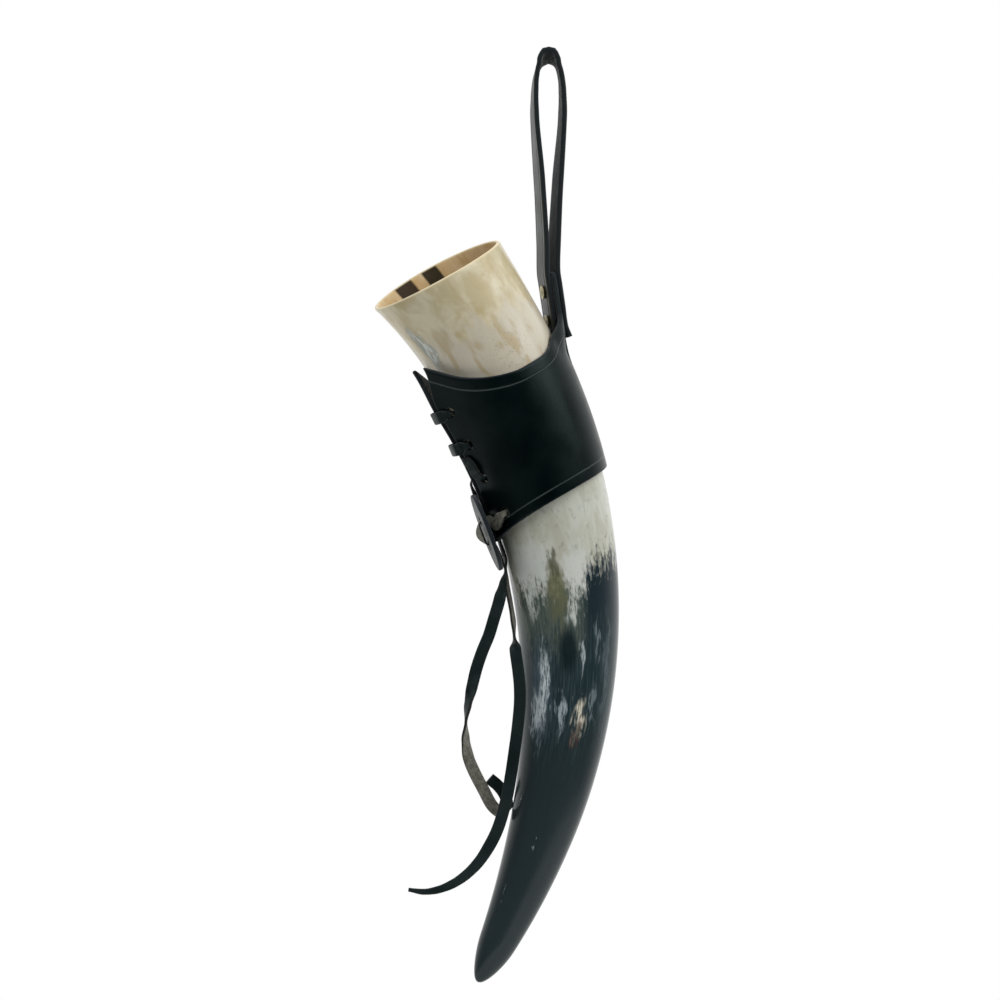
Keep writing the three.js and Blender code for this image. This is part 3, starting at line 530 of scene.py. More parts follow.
def leather(name, grain, flesh, edge, crease=None, gloss=0.45, line=None, line_half=0.34):
    """Leather with a smooth grain side, a suede flesh side, raw cut edges and tooled crease lines."""
    material, tree = new_material(name)
    cut = node(tree, "ShaderNodeUVMap", uv_map="cut")
    side = node(tree, "ShaderNodeSeparateXYZ", [cut], "Y")
    from_edge = node(tree, "ShaderNodeSeparateXYZ", [cut], "X")
    from_edge = node(tree, "ShaderNodeMath", [from_edge, CUT_SCALE], operation="MULTIPLY")
    place = node(tree, "ShaderNodeTexCoord", (), "Object")
    is_grain = node(tree, "ShaderNodeMapRange", [side, 0.35, 0.95], **SMOOTH)
    is_flesh = node(tree, "ShaderNodeMapRange", [side, -0.35, -0.95], **SMOOTH)
    rough_side = node(tree, "ShaderNodeMath", [1.0, is_grain], operation="SUBTRACT")

    # Spots of pores, uneven dye, nap and patches of nap, by their size in millimetres. On real hide
    # pores and nap are finer than a pixel, so they are drawn coarser, to show
    spots = {"Vector": place, "Scale": 1 / (0.9 * MM), "Detail": 3, "Roughness": 0.6}
    pores = node(tree, "ShaderNodeTexNoise", spots, "Fac")
    spots = {"Vector": place, "Scale": 1 / (18 * MM), "Detail": 3, "Roughness": 0.55}
    mottle = node(tree, "ShaderNodeTexNoise", spots, "Fac")
    spots = {"Vector": place, "Scale": 1 / (0.45 * MM), "Detail": 4, "Roughness": 0.75}
    nap = node(tree, "ShaderNodeTexNoise", spots, "Fac")
    spots = {"Vector": place, "Scale": 1 / (3 * MM), "Detail": 3, "Roughness": 0.6}
    nap_patches = node(tree, "ShaderNodeTexNoise", spots, "Fac")
    dyed = node(tree, "ShaderNodeMapRange", [mottle, 0.3, 0.7], **SMOOTH)
    tints = {0: dyed, 6: srgb(grain[0]), 7: srgb(grain[1])}
    grain_colour = node(tree, "ShaderNodeMix", tints, **COLOURS)
    suede = node(tree, "ShaderNodeMath", [nap_patches, 0.4], operation="MULTIPLY")
    suede = node(tree, "ShaderNodeMath", [nap, 0.6, suede], operation="MULTIPLY_ADD")
    brushed = node(tree, "ShaderNodeMapRange", [suede, 0.38, 0.62], **SMOOTH)
    tints = {0: brushed, 6: srgb(flesh[0]), 7: srgb(flesh[1])}
    flesh_colour = node(tree, "ShaderNodeMix", tints, **COLOURS)
    colour = node(tree, "ShaderNodeMix", {0: is_grain, 6: srgb(edge), 7: grain_colour}, **COLOURS)
    colour = node(tree, "ShaderNodeMix", {0: is_flesh, 6: colour, 7: flesh_colour}, **COLOURS)
    rough = node(tree, "ShaderNodeMapRange", [mottle, 0.25, 0.75, gloss - 0.05, gloss + 0.07], **SMOOTH)
    rough = node(tree, "ShaderNodeMath", [rough_side, 0.4, rough], operation="MULTIPLY_ADD")
    pitted = node(tree, "ShaderNodeMath", [pores, is_grain], operation="MULTIPLY")
    height = node(tree, "ShaderNodeMath", [pitted, PORE_RELIEF], operation="MULTIPLY")
    raised = node(tree, "ShaderNodeMath", [nap, rough_side], operation="MULTIPLY")
    height = node(tree, "ShaderNodeMath", [raised, NAP_RELIEF, height], operation="MULTIPLY_ADD")
    if crease:
        away = node(tree, "ShaderNodeMath", [from_edge, crease], operation="SUBTRACT")
        away = node(tree, "ShaderNodeMath", [away], operation="ABSOLUTE")
        groove = node(tree, "ShaderNodeMapRange", [away, line_half * 1.6, line_half * 0.3], **SMOOTH)
        groove = node(tree, "ShaderNodeMath", [groove, is_grain], operation="MULTIPLY")
        rubbed = node(tree, "ShaderNodeMapRange", [away, line_half, line_half * 0.25], **SMOOTH)
        rubbed = node(tree, "ShaderNodeMath", [rubbed, is_grain], operation="MULTIPLY")
        rubbed = node(tree, "ShaderNodeMath", [rubbed, 0.6], operation="MULTIPLY")
        colour = node(tree, "ShaderNodeMix", {0: rubbed, 6: colour, 7: srgb(line)}, **COLOURS)
        height = node(tree, "ShaderNodeMath", [groove, CREASE_RELIEF, height], operation="MULTIPLY_ADD")
    normal = node(tree, "ShaderNodeBump", {"Strength": 1.0, "Distance": MM, "Height": height})
    sheen = node(tree, "ShaderNodeMath", [rough_side, 0.2], operation="MULTIPLY")
    end_material(tree, {"Base Color": colour, "Roughness": rough, "Normal": normal, "Sheen Weight": sheen,
                        "Specular IOR Level": 0.22, "Specular Tint": srgb("#d2eeee")})
    return material


SUEDE = ("#0c1116", "#1d2227")
RAW_EDGE = "#10151a"
# Vegetable-tanned hide, dyed black and burnished: deep black with a soft sheen, and a pale
# tooled line near its top and bottom edges
sleeve_leather = leather("black_leather", ("#010708", "#040d0e"), SUEDE, RAW_EDGE, crease=5.8, gloss=0.32,
                         line="#4d5654")
# Strap hide, dyed and worn to a grey-black, with a dark pressed line along both edges
strap_leather = leather("strap_leather", ("#1e201b", "#2b2d26"), SUEDE, RAW_EDGE, crease=3.2, gloss=0.36,
                        line="#020404", line_half=0.9)
# Stiff black hide of the button: smooth and half dull, with no line
button_leather = leather("button_leather", ("#0c1314", "#161d1d"), SUEDE, "#12181f")
# Soft lace hide: black and smooth on one side, grey and napped on the other
lace_leather = leather("lace_leather", ("#0e1617", "#192021"), ("#4a4941", "#807e74"), "#1b1c1a")

# Free ends of the lace, as the frame lays them: counted from the button's middle
button_low, button_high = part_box("lace_button")
BUTTON_MIDDLE = (button_low + button_high) / 2 / MM
# Towards the viewer, to the viewer's left, and up where the left end hooks back
FRONT = Vector((-0.24, -0.97, 0))
LEFT = Vector((-0.97, 0.24, 0))
UP_THE_CURL = Vector((-0.55, 0, 0.83))

# Turn of the grain from the viewer round to the left, then x, y and z. The tilt of the grain upwards
# and the lace's width follow where they differ from none and full
LEFT_TAIL = [
    (-90, 9.2, -2, -20.5), (-60, 7.2, -4, -26), (0, 5.2, -3.5, -34.9), (0, 2.6, -4, -42.9),
    (0, 0.1, -4, -50.9), (0, -3.3, -4, -58.9), (0, -6.1, -4, -66.9), (25, -8.4, -4, -75.9),
    (60, -10.4, -3.5, -84.9), (90, -11.4, -3, -93.9), (125, -11.3, -2, -102.9),
    (155, -9.3, 0, -111.9), (180, -5.7, 2, -119.4), (180, -0.3, 5, -128.4), (180, 4.1, 8, -135.4),
    (180, 7.2, 10, -138.4, 15), (180, 10.6, 12.5, -140.2, 45), (180, 13.6, 15.5, -139.6, 85),
    (0, 15.2, 18.5, -136.2, 45), (0, 13.9, 20, -131.4, 15), (0, 10.7, 20, -127.2, 5),
    (0, 6.1, 19, -123.5),
]
RIGHT_TAIL = [
    (90, 11.1, 5.8, -18), (108, 11.2, 5, -24), (108, 12.3, 2, -33.9), (108, 12.9, -2, -42.9),
    (90, 13.2, -3.5, -51.9), (0, 13.6, -5, -59.9), (0, 14.5, -6, -67.9), (0, 15.2, -6.5, -75.9),
    (0, 15.3, -6.5, -83.9), (0, 14.8, -6, -91.9), (0, 14, -5.5, -99.9), (0, 12.7, -5, -109.9),
    (0, 11.3, -4.5, -119.9), (0, 9.6, -4, -129.9), (0, 7, -4, -139.9), (0, 4.2, -4, -147.9),
    (0, 0.6, -4, -154.9), (0, -4.8, -4, -162.9, 0, 5.5), (0, -10.8, -4, -168.9, 0, 5),
    (0, -17.5, -4, -173.4, 0, 4.5), (0, -25.2, -4, -176.4, 0, 3.8), (0, -32.9, -4, -177.4, 0, 3),
    (0, -40.7, -4, -176.2, 0, 2),
]


def make_tail(name, before, end, route):
    """A free end goes on from the held lace, a small gap further along it."""
    along = (end[0] - before[0]).normalized()
    stations = [(end[0] + along * length, *end[1:]) for length in (LACE_GAP, LACE_GAP + LACE_THICK)]
    for turn, x, y, z, *more in route:
        tilt, width = more + [0, LACE_WIDTH][len(more):]
        turn, tilt = math.radians(turn), math.radians(tilt)
        level = FRONT * math.cos(turn) + LEFT * math.sin(turn)
        look = level * math.cos(tilt) + UP_THE_CURL * math.sin(tilt)
        stations.append((BUTTON_MIDDLE + Vector((x, y, z)), look, width, LACE_THICK))
    tail = make_strip(name + "_end", stations, TAIL_STEP, lace_leather)
    stands_for(tail, "holster", "lace_leather", name)


# Sleeve: an arc that hugs the horn and two straight flaps that meet at the lacing

CORNER_TOP = SLEEVE_TOP - CORNER_RISE
STRETCH = BEND / (BEND - MOUTH_RADIUS)
HOLE_ROWS = [CORNER_TOP + (FIRST_HOLE_DROP + row * LACE_PITCH) * STRETCH for row in range(4)]
HOLE_INSETS = [7, 7, 7, 13]
NEAR, FAR = -1, 1
# The flap narrows on below its bottom edge to this share, for the lace that leaves there
PAST_BOTTOM = 1.2


def sleeve_shape(s):
    radius = horn_radius(s) + HORN_CLEARANCE + SLACK / 2
    laced = smooth(s, CORNER_TOP, HOLE_ROWS[0] - HOLE)
    if s > HOLE_ROWS[0]:
        down = clamp((s - HOLE_ROWS[0]) / (LACING_BOTTOM - HOLE_ROWS[0]), 0, PAST_BOTTOM)
        flap = lerp(FLAP_FIRST_HOLE, FLAP_BOTTOM, down)
    else:
        flap = lerp(FLAP_TOP, FLAP_FIRST_HOLE, laced)
    gap = FLAP_GAP + FLAP_SPLAY * (1 - laced)
    tangent = math.pi - math.asin(gap / (2 * math.hypot(radius, flap))) - math.atan2(flap, radius)
    return radius, tangent, radius * tangent + flap


def leather_frame(across, s):
    """Place, normal and direction round the sleeve at a distance across it and along it."""
    radius, tangent, _ = sleeve_shape(s)
    run = across - radius * LACING_TURN
    hand = 1 if run > 0 else -1
    turn = hand * min(abs(run) / radius, tangent)
    straight = hand * max(0, abs(run) - radius * tangent)
    c, d = math.cos(turn), math.sin(turn)
    a = radius * c - straight * d - SLACK / 2
    b = radius * d + straight * c
    ct, st = math.cos(LACING_TURN), math.sin(LACING_TURN)
    out = bend_out(s)
    at = bend_place(s, a * ct - b * st, a * st + b * ct)
    normal = out * (c * ct - d * st) + Y * (c * st + d * ct)
    around = out * (-d * ct - c * st) + Y * (c * ct - d * st)
    return at, normal, around


def leather_place(across, s, height):
    at, normal, _ = leather_frame(across, s)
    upward = 1 - smooth(s, TAB_ROOT - TAB_BEND / 2, TAB_ROOT + TAB_BEND / 2)
    sideways = 1 - smooth(abs(across), TAB_WIDTH / 2, TAB_WIDTH / 2 + TAB_BLEND)
    return (at + normal * height).lerp(tab_place(TAB_ROOT - s, height, across), upward * sideways)


def sleeve_reach(hand, s):
    radius, _, reach = sleeve_shape(s)
    return reach + hand * radius * LACING_TURN


def top_edge(column, reach):
    corner = clamp(1 - (reach - abs(column)) / CORNER_REACH)
    beyond = (abs(column) - TAB_WIDTH / 2) / TAB_SHOULDER
    if beyond <= 0:
        rounding = clamp((abs(column) - TAB_WIDTH / 2) / TAB_CORNER + 1)
        return TAB_ROOT - TAB_LENGTH + TAB_CORNER * (1 - math.sqrt(1 - rounding * rounding))
    into = clamp(1 - beyond)
    return SLEEVE_TOP - CORNER_RISE * corner ** EDGE_CURVE - SHOULDER_RISE * into ** SHOULDER_CURVE


def bottom_edge(column, reach):
    return lerp(BACK_BOTTOM, LACING_BOTTOM, (column / reach) ** 2)


def column_across(column, s):
    hand = 1 if column > 0 else -1
    fixed = TAB_WIDTH / 2 + TAB_SHOULDER
    stretch = (sleeve_reach(hand, s) - fixed) / (sleeve_reach(hand, HOLE_ROWS[0]) - fixed)
    return hand * (min(abs(column), fixed) + max(0, abs(column) - fixed) * stretch)


def flap_place(hand, s, inset, height):
    at, normal, around = leather_frame(hand * (sleeve_reach(hand, s) - inset), s)
    return at + normal * height, normal, around * -hand


# The sleeve's grid: distances from an edge, where it is fine, and steps between
EDGE_STEPS = [0, 0.06, 0.22, 0.5, 0.9, 1.6, 2.8, 4.2]
SLEEVE_ROWS = 44
SLEEVE_STEP = 1.7
TAB_COLUMNS = [3, 4.5]
CORNER_STEPS = 8
SHOULDER_STARTS = [0.25, 0.6]
SHOULDER_STEPS = 20
# The round of a cut edge, and the width of the raw leather on it
EDGE_ROUND = 0.9
RAW_WIDTH = 0.8


def sleeve_columns(hand):
    half = TAB_WIDTH / 2
    reach = sleeve_reach(hand, HOLE_ROWS[0])
    start = half + TAB_SHOULDER
    columns = list(TAB_COLUMNS)
    columns += [half - TAB_CORNER + TAB_CORNER * k / CORNER_STEPS for k in range(CORNER_STEPS + 1)]
    columns += [half + step for step in SHOULDER_STARTS]
    columns += [half + TAB_SHOULDER * k / SHOULDER_STEPS for k in range(1, SHOULDER_STEPS + 1)]
    steps = round((reach - EDGE_STEPS[-1] - start) / SLEEVE_STEP)
    columns += [lerp(start, reach - EDGE_STEPS[-1], k / steps) for k in range(1, steps)]
    columns += [reach - step for step in reversed(EDGE_STEPS)]
    return [hand * column for column in columns]


def flat_distance(points, outline):
    """Distance of flat points to the line through the outline's points."""
    points = np.array(points)
    start = np.array(outline[:-1])
    run = np.array(outline[1:]) - start
    away = points[:, None, :] - start[None]
    share = np.clip((away * run).sum(2) / np.maximum((run * run).sum(1), 1e-9), 0, 1)
    return np.sqrt(((away - share[..., None] * run) ** 2).sum(2)).min(1)


def make_sleeve():
    columns = sleeve_columns(NEAR)[::-1] + [0] + sleeve_columns(FAR)
    grid = []
    for column in columns:
        reach = sleeve_reach(1 if column > 0 else -1, HOLE_ROWS[0])
        low, high = bottom_edge(column, reach), top_edge(column, reach)
        rows = [low - step for step in EDGE_STEPS]
        inner_low, inner_high = low - EDGE_STEPS[-1], high + EDGE_STEPS[-1]
        rows += [lerp(inner_low, inner_high, k / SLEEVE_ROWS) for k in range(1, SLEEVE_ROWS)]
        rows += [high + step for step in reversed(EDGE_STEPS)]
        grid.append([(column_across(column, s), s) for s in rows])
    height, width = len(grid[0]), len(grid)

    def real(w, s):
        """A grid point on flat leather: a length along the horn is longer on its outer bend."""
        return w, s * (1 + MOUTH_RADIUS * math.cos(w / MOUTH_RADIUS) / BEND)

    top = [real(*column[-1]) for column in grid]
    bottom = [real(*column[0]) for column in reversed(grid)]
    outline = [real(*p) for p in grid[0]] + top + [real(*p) for p in reversed(grid[-1])] + bottom
    flat = [p for column in grid for p in column]
    flat_real = [real(*p) for p in flat]
    distance = flat_distance(flat_real, outline + outline[:1])
    # The tooled line follows only the top and bottom edges
    from_line_edge = np.minimum(flat_distance(flat_real, top), flat_distance(flat_real, bottom))
    points, cut = [], []
    for face in (1, -1):
        for (w, s), d, line_distance in zip(flat, distance, from_line_edge):
            into = 1 - clamp(d / EDGE_ROUND)
            drop = EDGE_ROUND * (1 - math.sqrt(1 - into * into))
            rise = LEATHER - drop if face > 0 else drop
            points.append(leather_place(w, s, rise) + SHIFT)
            cut.append((line_distance / CUT_SCALE, face * clamp(d / RAW_WIDTH)))
    faces = []
    back = width * height

    def at(i, j):
        return i * height + j

    for i in range(width - 1):
        for j in range(height - 1):
            a, b, c, d = at(i, j), at(i + 1, j), at(i + 1, j + 1), at(i, j + 1)
            faces += [(a, b, c, d), (a + back, d + back, c + back, b + back)]
        for j, flip in ((0, False), (height - 1, True)):
            wall = (at(i, j), at(i, j) + back, at(i + 1, j) + back, at(i + 1, j))
            faces.append(wall[::-1] if flip else wall)
    for i, flip in ((0, True), (width - 1, False)):
        for j in range(height - 1):
            wall = (at(i, j), at(i, j) + back, at(i, j + 1) + back, at(i, j + 1))
            faces.append(wall[::-1] if flip else wall)
    sleeve = make_piece("sleeve", points, faces, sleeve_leather, cut)
    holes = []
    for hand in (NEAR, FAR):
        for row, s in enumerate(HOLE_ROWS):
            place, out, _ = flap_place(hand, s, HOLE_INSETS[row], LEATHER / 2)
            holes.append((place + SHIFT, out))
    sleeve = punched(sleeve, holes, HOLE, LEATHER)
    holes = [(tab_place(rise, LEATHER / 2) + SHIFT, TAB_OUT) for rise in RIVET_RISES]
    sleeve = punched(sleeve, holes, RIVET_HOLE, LEATHER)
    stands_for(sleeve, "holster", "black_leather", "holster_sleeve")


# Hanger strap: up the horn side of the tab, round the loop, down the outside

# Shares of the loop's height and half width that each leg passes through
LOOP_SHARES = [
    (0.14, 0.44), (0.41, 0.66), (0.714, 1), (0.82, 1), (0.893, 0.914), (0.947, 0.714), (0.978, 0.471),
]
INNER_LAYER = -GAP - STRAP_THICK / 2
OUTER_LAYER = LEATHER + GAP + STRAP_THICK / 2


def loop_station(hand, height_share, width_share):
    half = (LOOP_GAP + STRAP_THICK) / 2
    height = height_share * (LOOP_HEIGHT + STRAP_THICK / 2)
    turn = LOOP_TURN * height_share ** 2
    tilt = LOOP_TILT * clamp((height_share - TILT_START) / (1 - TILT_START)) ** 2
    side = Vector((hand * math.cos(turn), -hand * math.sin(turn), 0))
    back = Vector((math.sin(turn), math.cos(turn), 0))
    place = TAB_TOP + side * half * width_share + Vector((0, 0, height))
    return place, side * math.cos(tilt) + back * math.sin(tilt)


def make_strap():
    low = LOWER_RIVET - RIVET_HEAD / 2
    end = (low - OUTER_END * math.cos(OUTER_FLARE), OUTER_LAYER + OUTER_END * math.sin(OUTER_FLARE))
    up = [LOWER_RIVET - INNER_END, LOWER_RIVET + RIVET_SPACING / 2, TAB_LENGTH - STRAP_LEAD, TAB_LENGTH]
    down = [TAB_LENGTH, TAB_LENGTH - STRAP_LEAD, LOWER_RIVET + RIVET_SPACING / 2, low]
    stations = [(tab_place(rise, INNER_LAYER), -TAB_OUT) for rise in up]
    stations += [loop_station(-1, *share) for share in LOOP_SHARES]
    top_look = Vector((math.sin(LOOP_TURN), math.cos(LOOP_TURN), 0)) * math.sin(LOOP_TILT)
    top_look.z = math.cos(LOOP_TILT)
    stations.append((LOOP_TOP + Vector((0, 0, STRAP_THICK / 2)), top_look))
    stations += [loop_station(1, *share) for share in reversed(LOOP_SHARES)]
    stations += [(tab_place(rise, OUTER_LAYER), TAB_OUT) for rise in down]
    stations.append((tab_place(*end), TAB_OUT))
    stations = [(at + SHIFT, look, STRAP_WIDTH, STRAP_THICK) for at, look in stations]
    strap = make_strip("strap", stations, STRAP_STEP, strap_leather)
    holes = [(tab_place(rise, layer) + SHIFT, TAB_OUT)
             for rise in RIVET_RISES for layer in (INNER_LAYER, OUTER_LAYER)]
    strap = punched(strap, holes, RIVET_HOLE, STRAP_THICK)
    stands_for(strap, "holster", "black_leather", "hanger_strap")


# Rivets: caps on the horn side and posts from the outside, each with a rolled rim

RIVET_SIDES = 40
RIVET_SHARP = math.radians(40)
# The brass gets brighter from the first of these radii to the second
RUBBED = (2.45, 2.85)
# The roll of the rim by its turn, from its foot, and the dished crown as shares of the head's
# radius and the crown's height
RIM_FOOT = 0.15
RIM_TURNS = (-1.2, -0.6, 0, 0.6, 1.1, 1.57)
CROWN_SHARES = ((0.83, 0.925), (0.757, 0.775), (0.5, 0.875), (0.25, 0.975), (0, 1))


def make_rivet_tree(name, axis):
    """Two rivet parts on a line: a lathe profile from the stem's end round the rim to the crown."""
    sizes = ("Head radius", "Rim", "Rim lift", "Stem radius", "Stem end", "Crown", "Spacing")
    tree, size = new_tree(name, sizes)
    head, rim, stem, end = size["Head radius"], size["Rim"], size["Stem radius"], size["Stem end"]
    profile = [(0, end), (stem, end), (stem, 0)]
    inner = node(tree, "ShaderNodeMath", [head, rim], operation="SUBTRACT")
    profile.append((node(tree, "ShaderNodeMath", [rim, RIM_FOOT, inner], operation="MULTIPLY_ADD"), 0))
    for turn in RIM_TURNS:
        radius = node(tree, "ShaderNodeMath", [rim, math.cos(turn), inner], operation="MULTIPLY_ADD")
        rolled = [rim, math.sin(turn), size["Rim lift"]]
        height = node(tree, "ShaderNodeMath", rolled, operation="MULTIPLY_ADD")
        profile.append((radius, height))
    for share, rise in CROWN_SHARES:
        radius = node(tree, "ShaderNodeMath", [head, share], operation="MULTIPLY")
        height = node(tree, "ShaderNodeMath", [size["Crown"], rise], operation="MULTIPLY")
        profile.append((radius, height))
    rivet, radius = lathe(tree, profile, RIVET_SIDES)
    worn = {"Geometry": rivet, "Name": "radius", "Value": radius}
    rivet = node(tree, "GeometryNodeStoreNamedAttribute", worn, data_type="FLOAT")
    step = {"Vector": TAB_UP * MM, "Scale": size["Spacing"]}
    rise = node(tree, "ShaderNodeVectorMath", step, operation="SCALE")
    line = node(tree, "GeometryNodeMeshLine", {"Count": 2, "Offset": rise})
    facing = node(tree, "FunctionNodeAlignRotationToVector", {"Vector": axis}, axis="Z")
    copies = {"Points": line, "Instance": rivet, "Rotation": facing}
    return tree, node(tree, "GeometryNodeInstanceOnPoints", copies)


def make_rivets(material):
    cap_seat = -2 * GAP - STRAP_THICK
    post_seat = LEATHER + 2 * GAP + STRAP_THICK
    length = post_seat - cap_seat + POST_INTO_SOCKET
    for part, seat, axis, stem, end in (("cap", cap_seat, -TAB_OUT, RIVET_SOCKET, SOCKET_DEPTH),
                                        ("post", post_seat, TAB_OUT, RIVET_POST, -length)):
        tree, both = make_rivet_tree(f"rivet_{part}", axis)
        at = (tab_place(LOWER_RIVET, seat) + SHIFT) * MM
        both = node(tree, "GeometryNodeTransform", {"Geometry": both, "Translation": at})
        end_tree(tree, both, material)
        rivets = grown(f"rivet_{part}s", tree, {
            "Head radius": RIVET_HEAD / 2, "Rim": RIVET_RIM, "Rim lift": RIVET_RIM_LIFT,
            "Stem radius": stem, "Stem end": end, "Crown": RIVET_CROWN, "Spacing": RIVET_SPACING})
        rivets.data.set_sharp_from_angle(angle=RIVET_SHARP)
        stands_for(rivets, "holster", "antique_brass", f"rivet_lower_{part}", f"rivet_upper_{part}")


# Lace button: a leather disc with two holes, on the lower end of the lacing

BUTTON_LEAN = MOUTH_ANGLE - BUTTON_DROP / BEND + BUTTON_TILT
BUTTON_UP = Vector((-math.sin(BUTTON_LEAN), 0, math.cos(BUTTON_LEAN)))
BUTTON_FLAT = Vector((-math.cos(BUTTON_LEAN), 0, -math.sin(BUTTON_LEAN)))
BUTTON_OUT = BUTTON_FLAT * math.cos(BUTTON_TURN) + Y * math.sin(BUTTON_TURN)
BUTTON_ACROSS = BUTTON_UP.cross(BUTTON_OUT).normalized()
BUTTON_CENTRE = bend_place(BUTTON_DROP, -BUTTON_STAND_OFF, -BUTTON_SHIFT)


def button_place(across, up, outward):
    return BUTTON_CENTRE + BUTTON_ACROSS * across + BUTTON_UP * up + BUTTON_OUT * outward


def make_button():
    half = BUTTON_THICK / 2
    radius = BUTTON / 2
    inner, low = radius - BUTTON_WORN, half - BUTTON_WORN
    arc = [(inner + BUTTON_WORN * math.cos(a), low + BUTTON_WORN * math.sin(a))
           for a in (math.pi / 2, math.pi / 3, math.pi / 6, 0)]
    flat = [radius * k for k in (0.15, 0.3, 0.45, 0.6, 0.75, 0.9)]
    top = [(r, half) for r in flat] + arc
    profile = [(0, half)] + top + [(r, -h) for r, h in reversed(top)] + [(0, -half)]
    points, faces = turned(profile, BUTTON_SIDES, BUTTON_CENTRE + SHIFT, BUTTON_OUT)
    cut = [(((radius - r) / CUT_SCALE), clamp((radius - r) / BUTTON_RAW) * (1 if h > 0 else -1))
           for r, h in profile[1:-1] for _ in range(BUTTON_SIDES)]
    cut += [(radius / CUT_SCALE, 1), (radius / CUT_SCALE, -1)]
    button = make_piece("button", points, faces, button_leather, cut)
    holes = [(button_place(0, hand * BUTTON_HOLES / 2, 0) + SHIFT, BUTTON_OUT) for hand in (-1, 1)]
    button = punched(button, holes, HOLE, BUTTON_THICK)
    stands_for(button, "holster", "black_leather", "lace_button")


# Lacing: one lace from the right tail's root through the holes to the left tail's root

OUTSIDE = LEATHER + LACE_GAP + LACE_THICK / 2
INSIDE = -LACE_GAP - PRESSED / 2
OVER = OUTSIDE + LACE_THICK + 2 * LACE_GAP

# The lace bending over the lips of its holes, and its way between them
OUT_LEAD = 2
IN_LEAD = 1
LIP_RUN = 0.9
LIP_RISE = 0.6
LIP_DROP = 0.7
CROSS_INSET = 0.6
CROSS_LIFT = 0.4
DOUBLED_INSET = 1.6
DOUBLED_LIFT = 0.9
FOLD_RUN = 2.6
FOLD_ROW = 1.42
BACK_EDGE_INSET = 0.8
BACK_INSET = 12
BACK_SAG = 0.4
SLANT_INSET = 4.2
KNOT_INSET = 7.5
KNOT_DROP = 5.5
KNOT_LIFT = 1.4
RIGHT_ROOT_DROP = 8
RIGHT_ROOT_INSET = 1
RIGHT_LEAD_INSET = 4.5
LEFT_LEAD_DROP = 4
LEFT_ROOT_DROP = 10.5
BUTTON_LACE_LIFT = 2.1
FOLD_GAPS = 1.4
# The lace goes straight on through a hole when the product of its two directions is below this
STRAIGHT_ON = -0.3


def lace_station(hand, s, inset, height, look, width, thick):
    """A station on a flap. Its look is given by its parts outward, away from the edge and down."""
    at, out, inward = flap_place(hand, s, inset, height)
    facing = out * look[0] + inward * look[1] + bend_on(s) * look[2]
    return at + SHIFT, facing, width, thick


def hole_pass(hand, row, out_run, in_run, out_look=1):
    """Through a hole from outside to inside, with the lace lying along the two runs."""
    straight_on = out_run[0] * in_run[0] + out_run[1] * in_run[1] < STRAIGHT_ON
    in_look = out_look if straight_on else -out_look
    out_wall = [-part * out_look for part in out_run]
    in_wall = out_wall if straight_on else [-part * out_look for part in in_run]
    middle = [a + b for a, b in zip(out_wall, in_wall)]

    def at(run, length, height, look, width, thick):
        s = HOLE_ROWS[row] + run[1] * length * STRETCH
        return lace_station(hand, s, HOLE_INSETS[row] + run[0] * length, height, look, width, thick)

    out_lip = (out_look * 0.6, out_wall[0] * 0.8, out_wall[1] * 0.8)
    in_lip = (in_look * 0.6, in_wall[0] * 0.8, in_wall[1] * 0.8)
    return [
        at(out_run, HOLE / 2 + OUT_LEAD, OUTSIDE, (out_look, 0, 0), LACE_WIDTH, LACE_THICK),
        at(out_run, LIP_RUN, LEATHER + LIP_RISE, out_lip, GATHERED, PRESSED),
        at(out_run, 0, LEATHER / 2, (0, *middle), GATHERED, PRESSED),
        at(in_run, LIP_RUN, -LIP_DROP, in_lip, GATHERED, PRESSED),
        at(in_run, HOLE / 2 + IN_LEAD, INSIDE, (in_look, 0, 0), GATHERED, PRESSED),
    ]


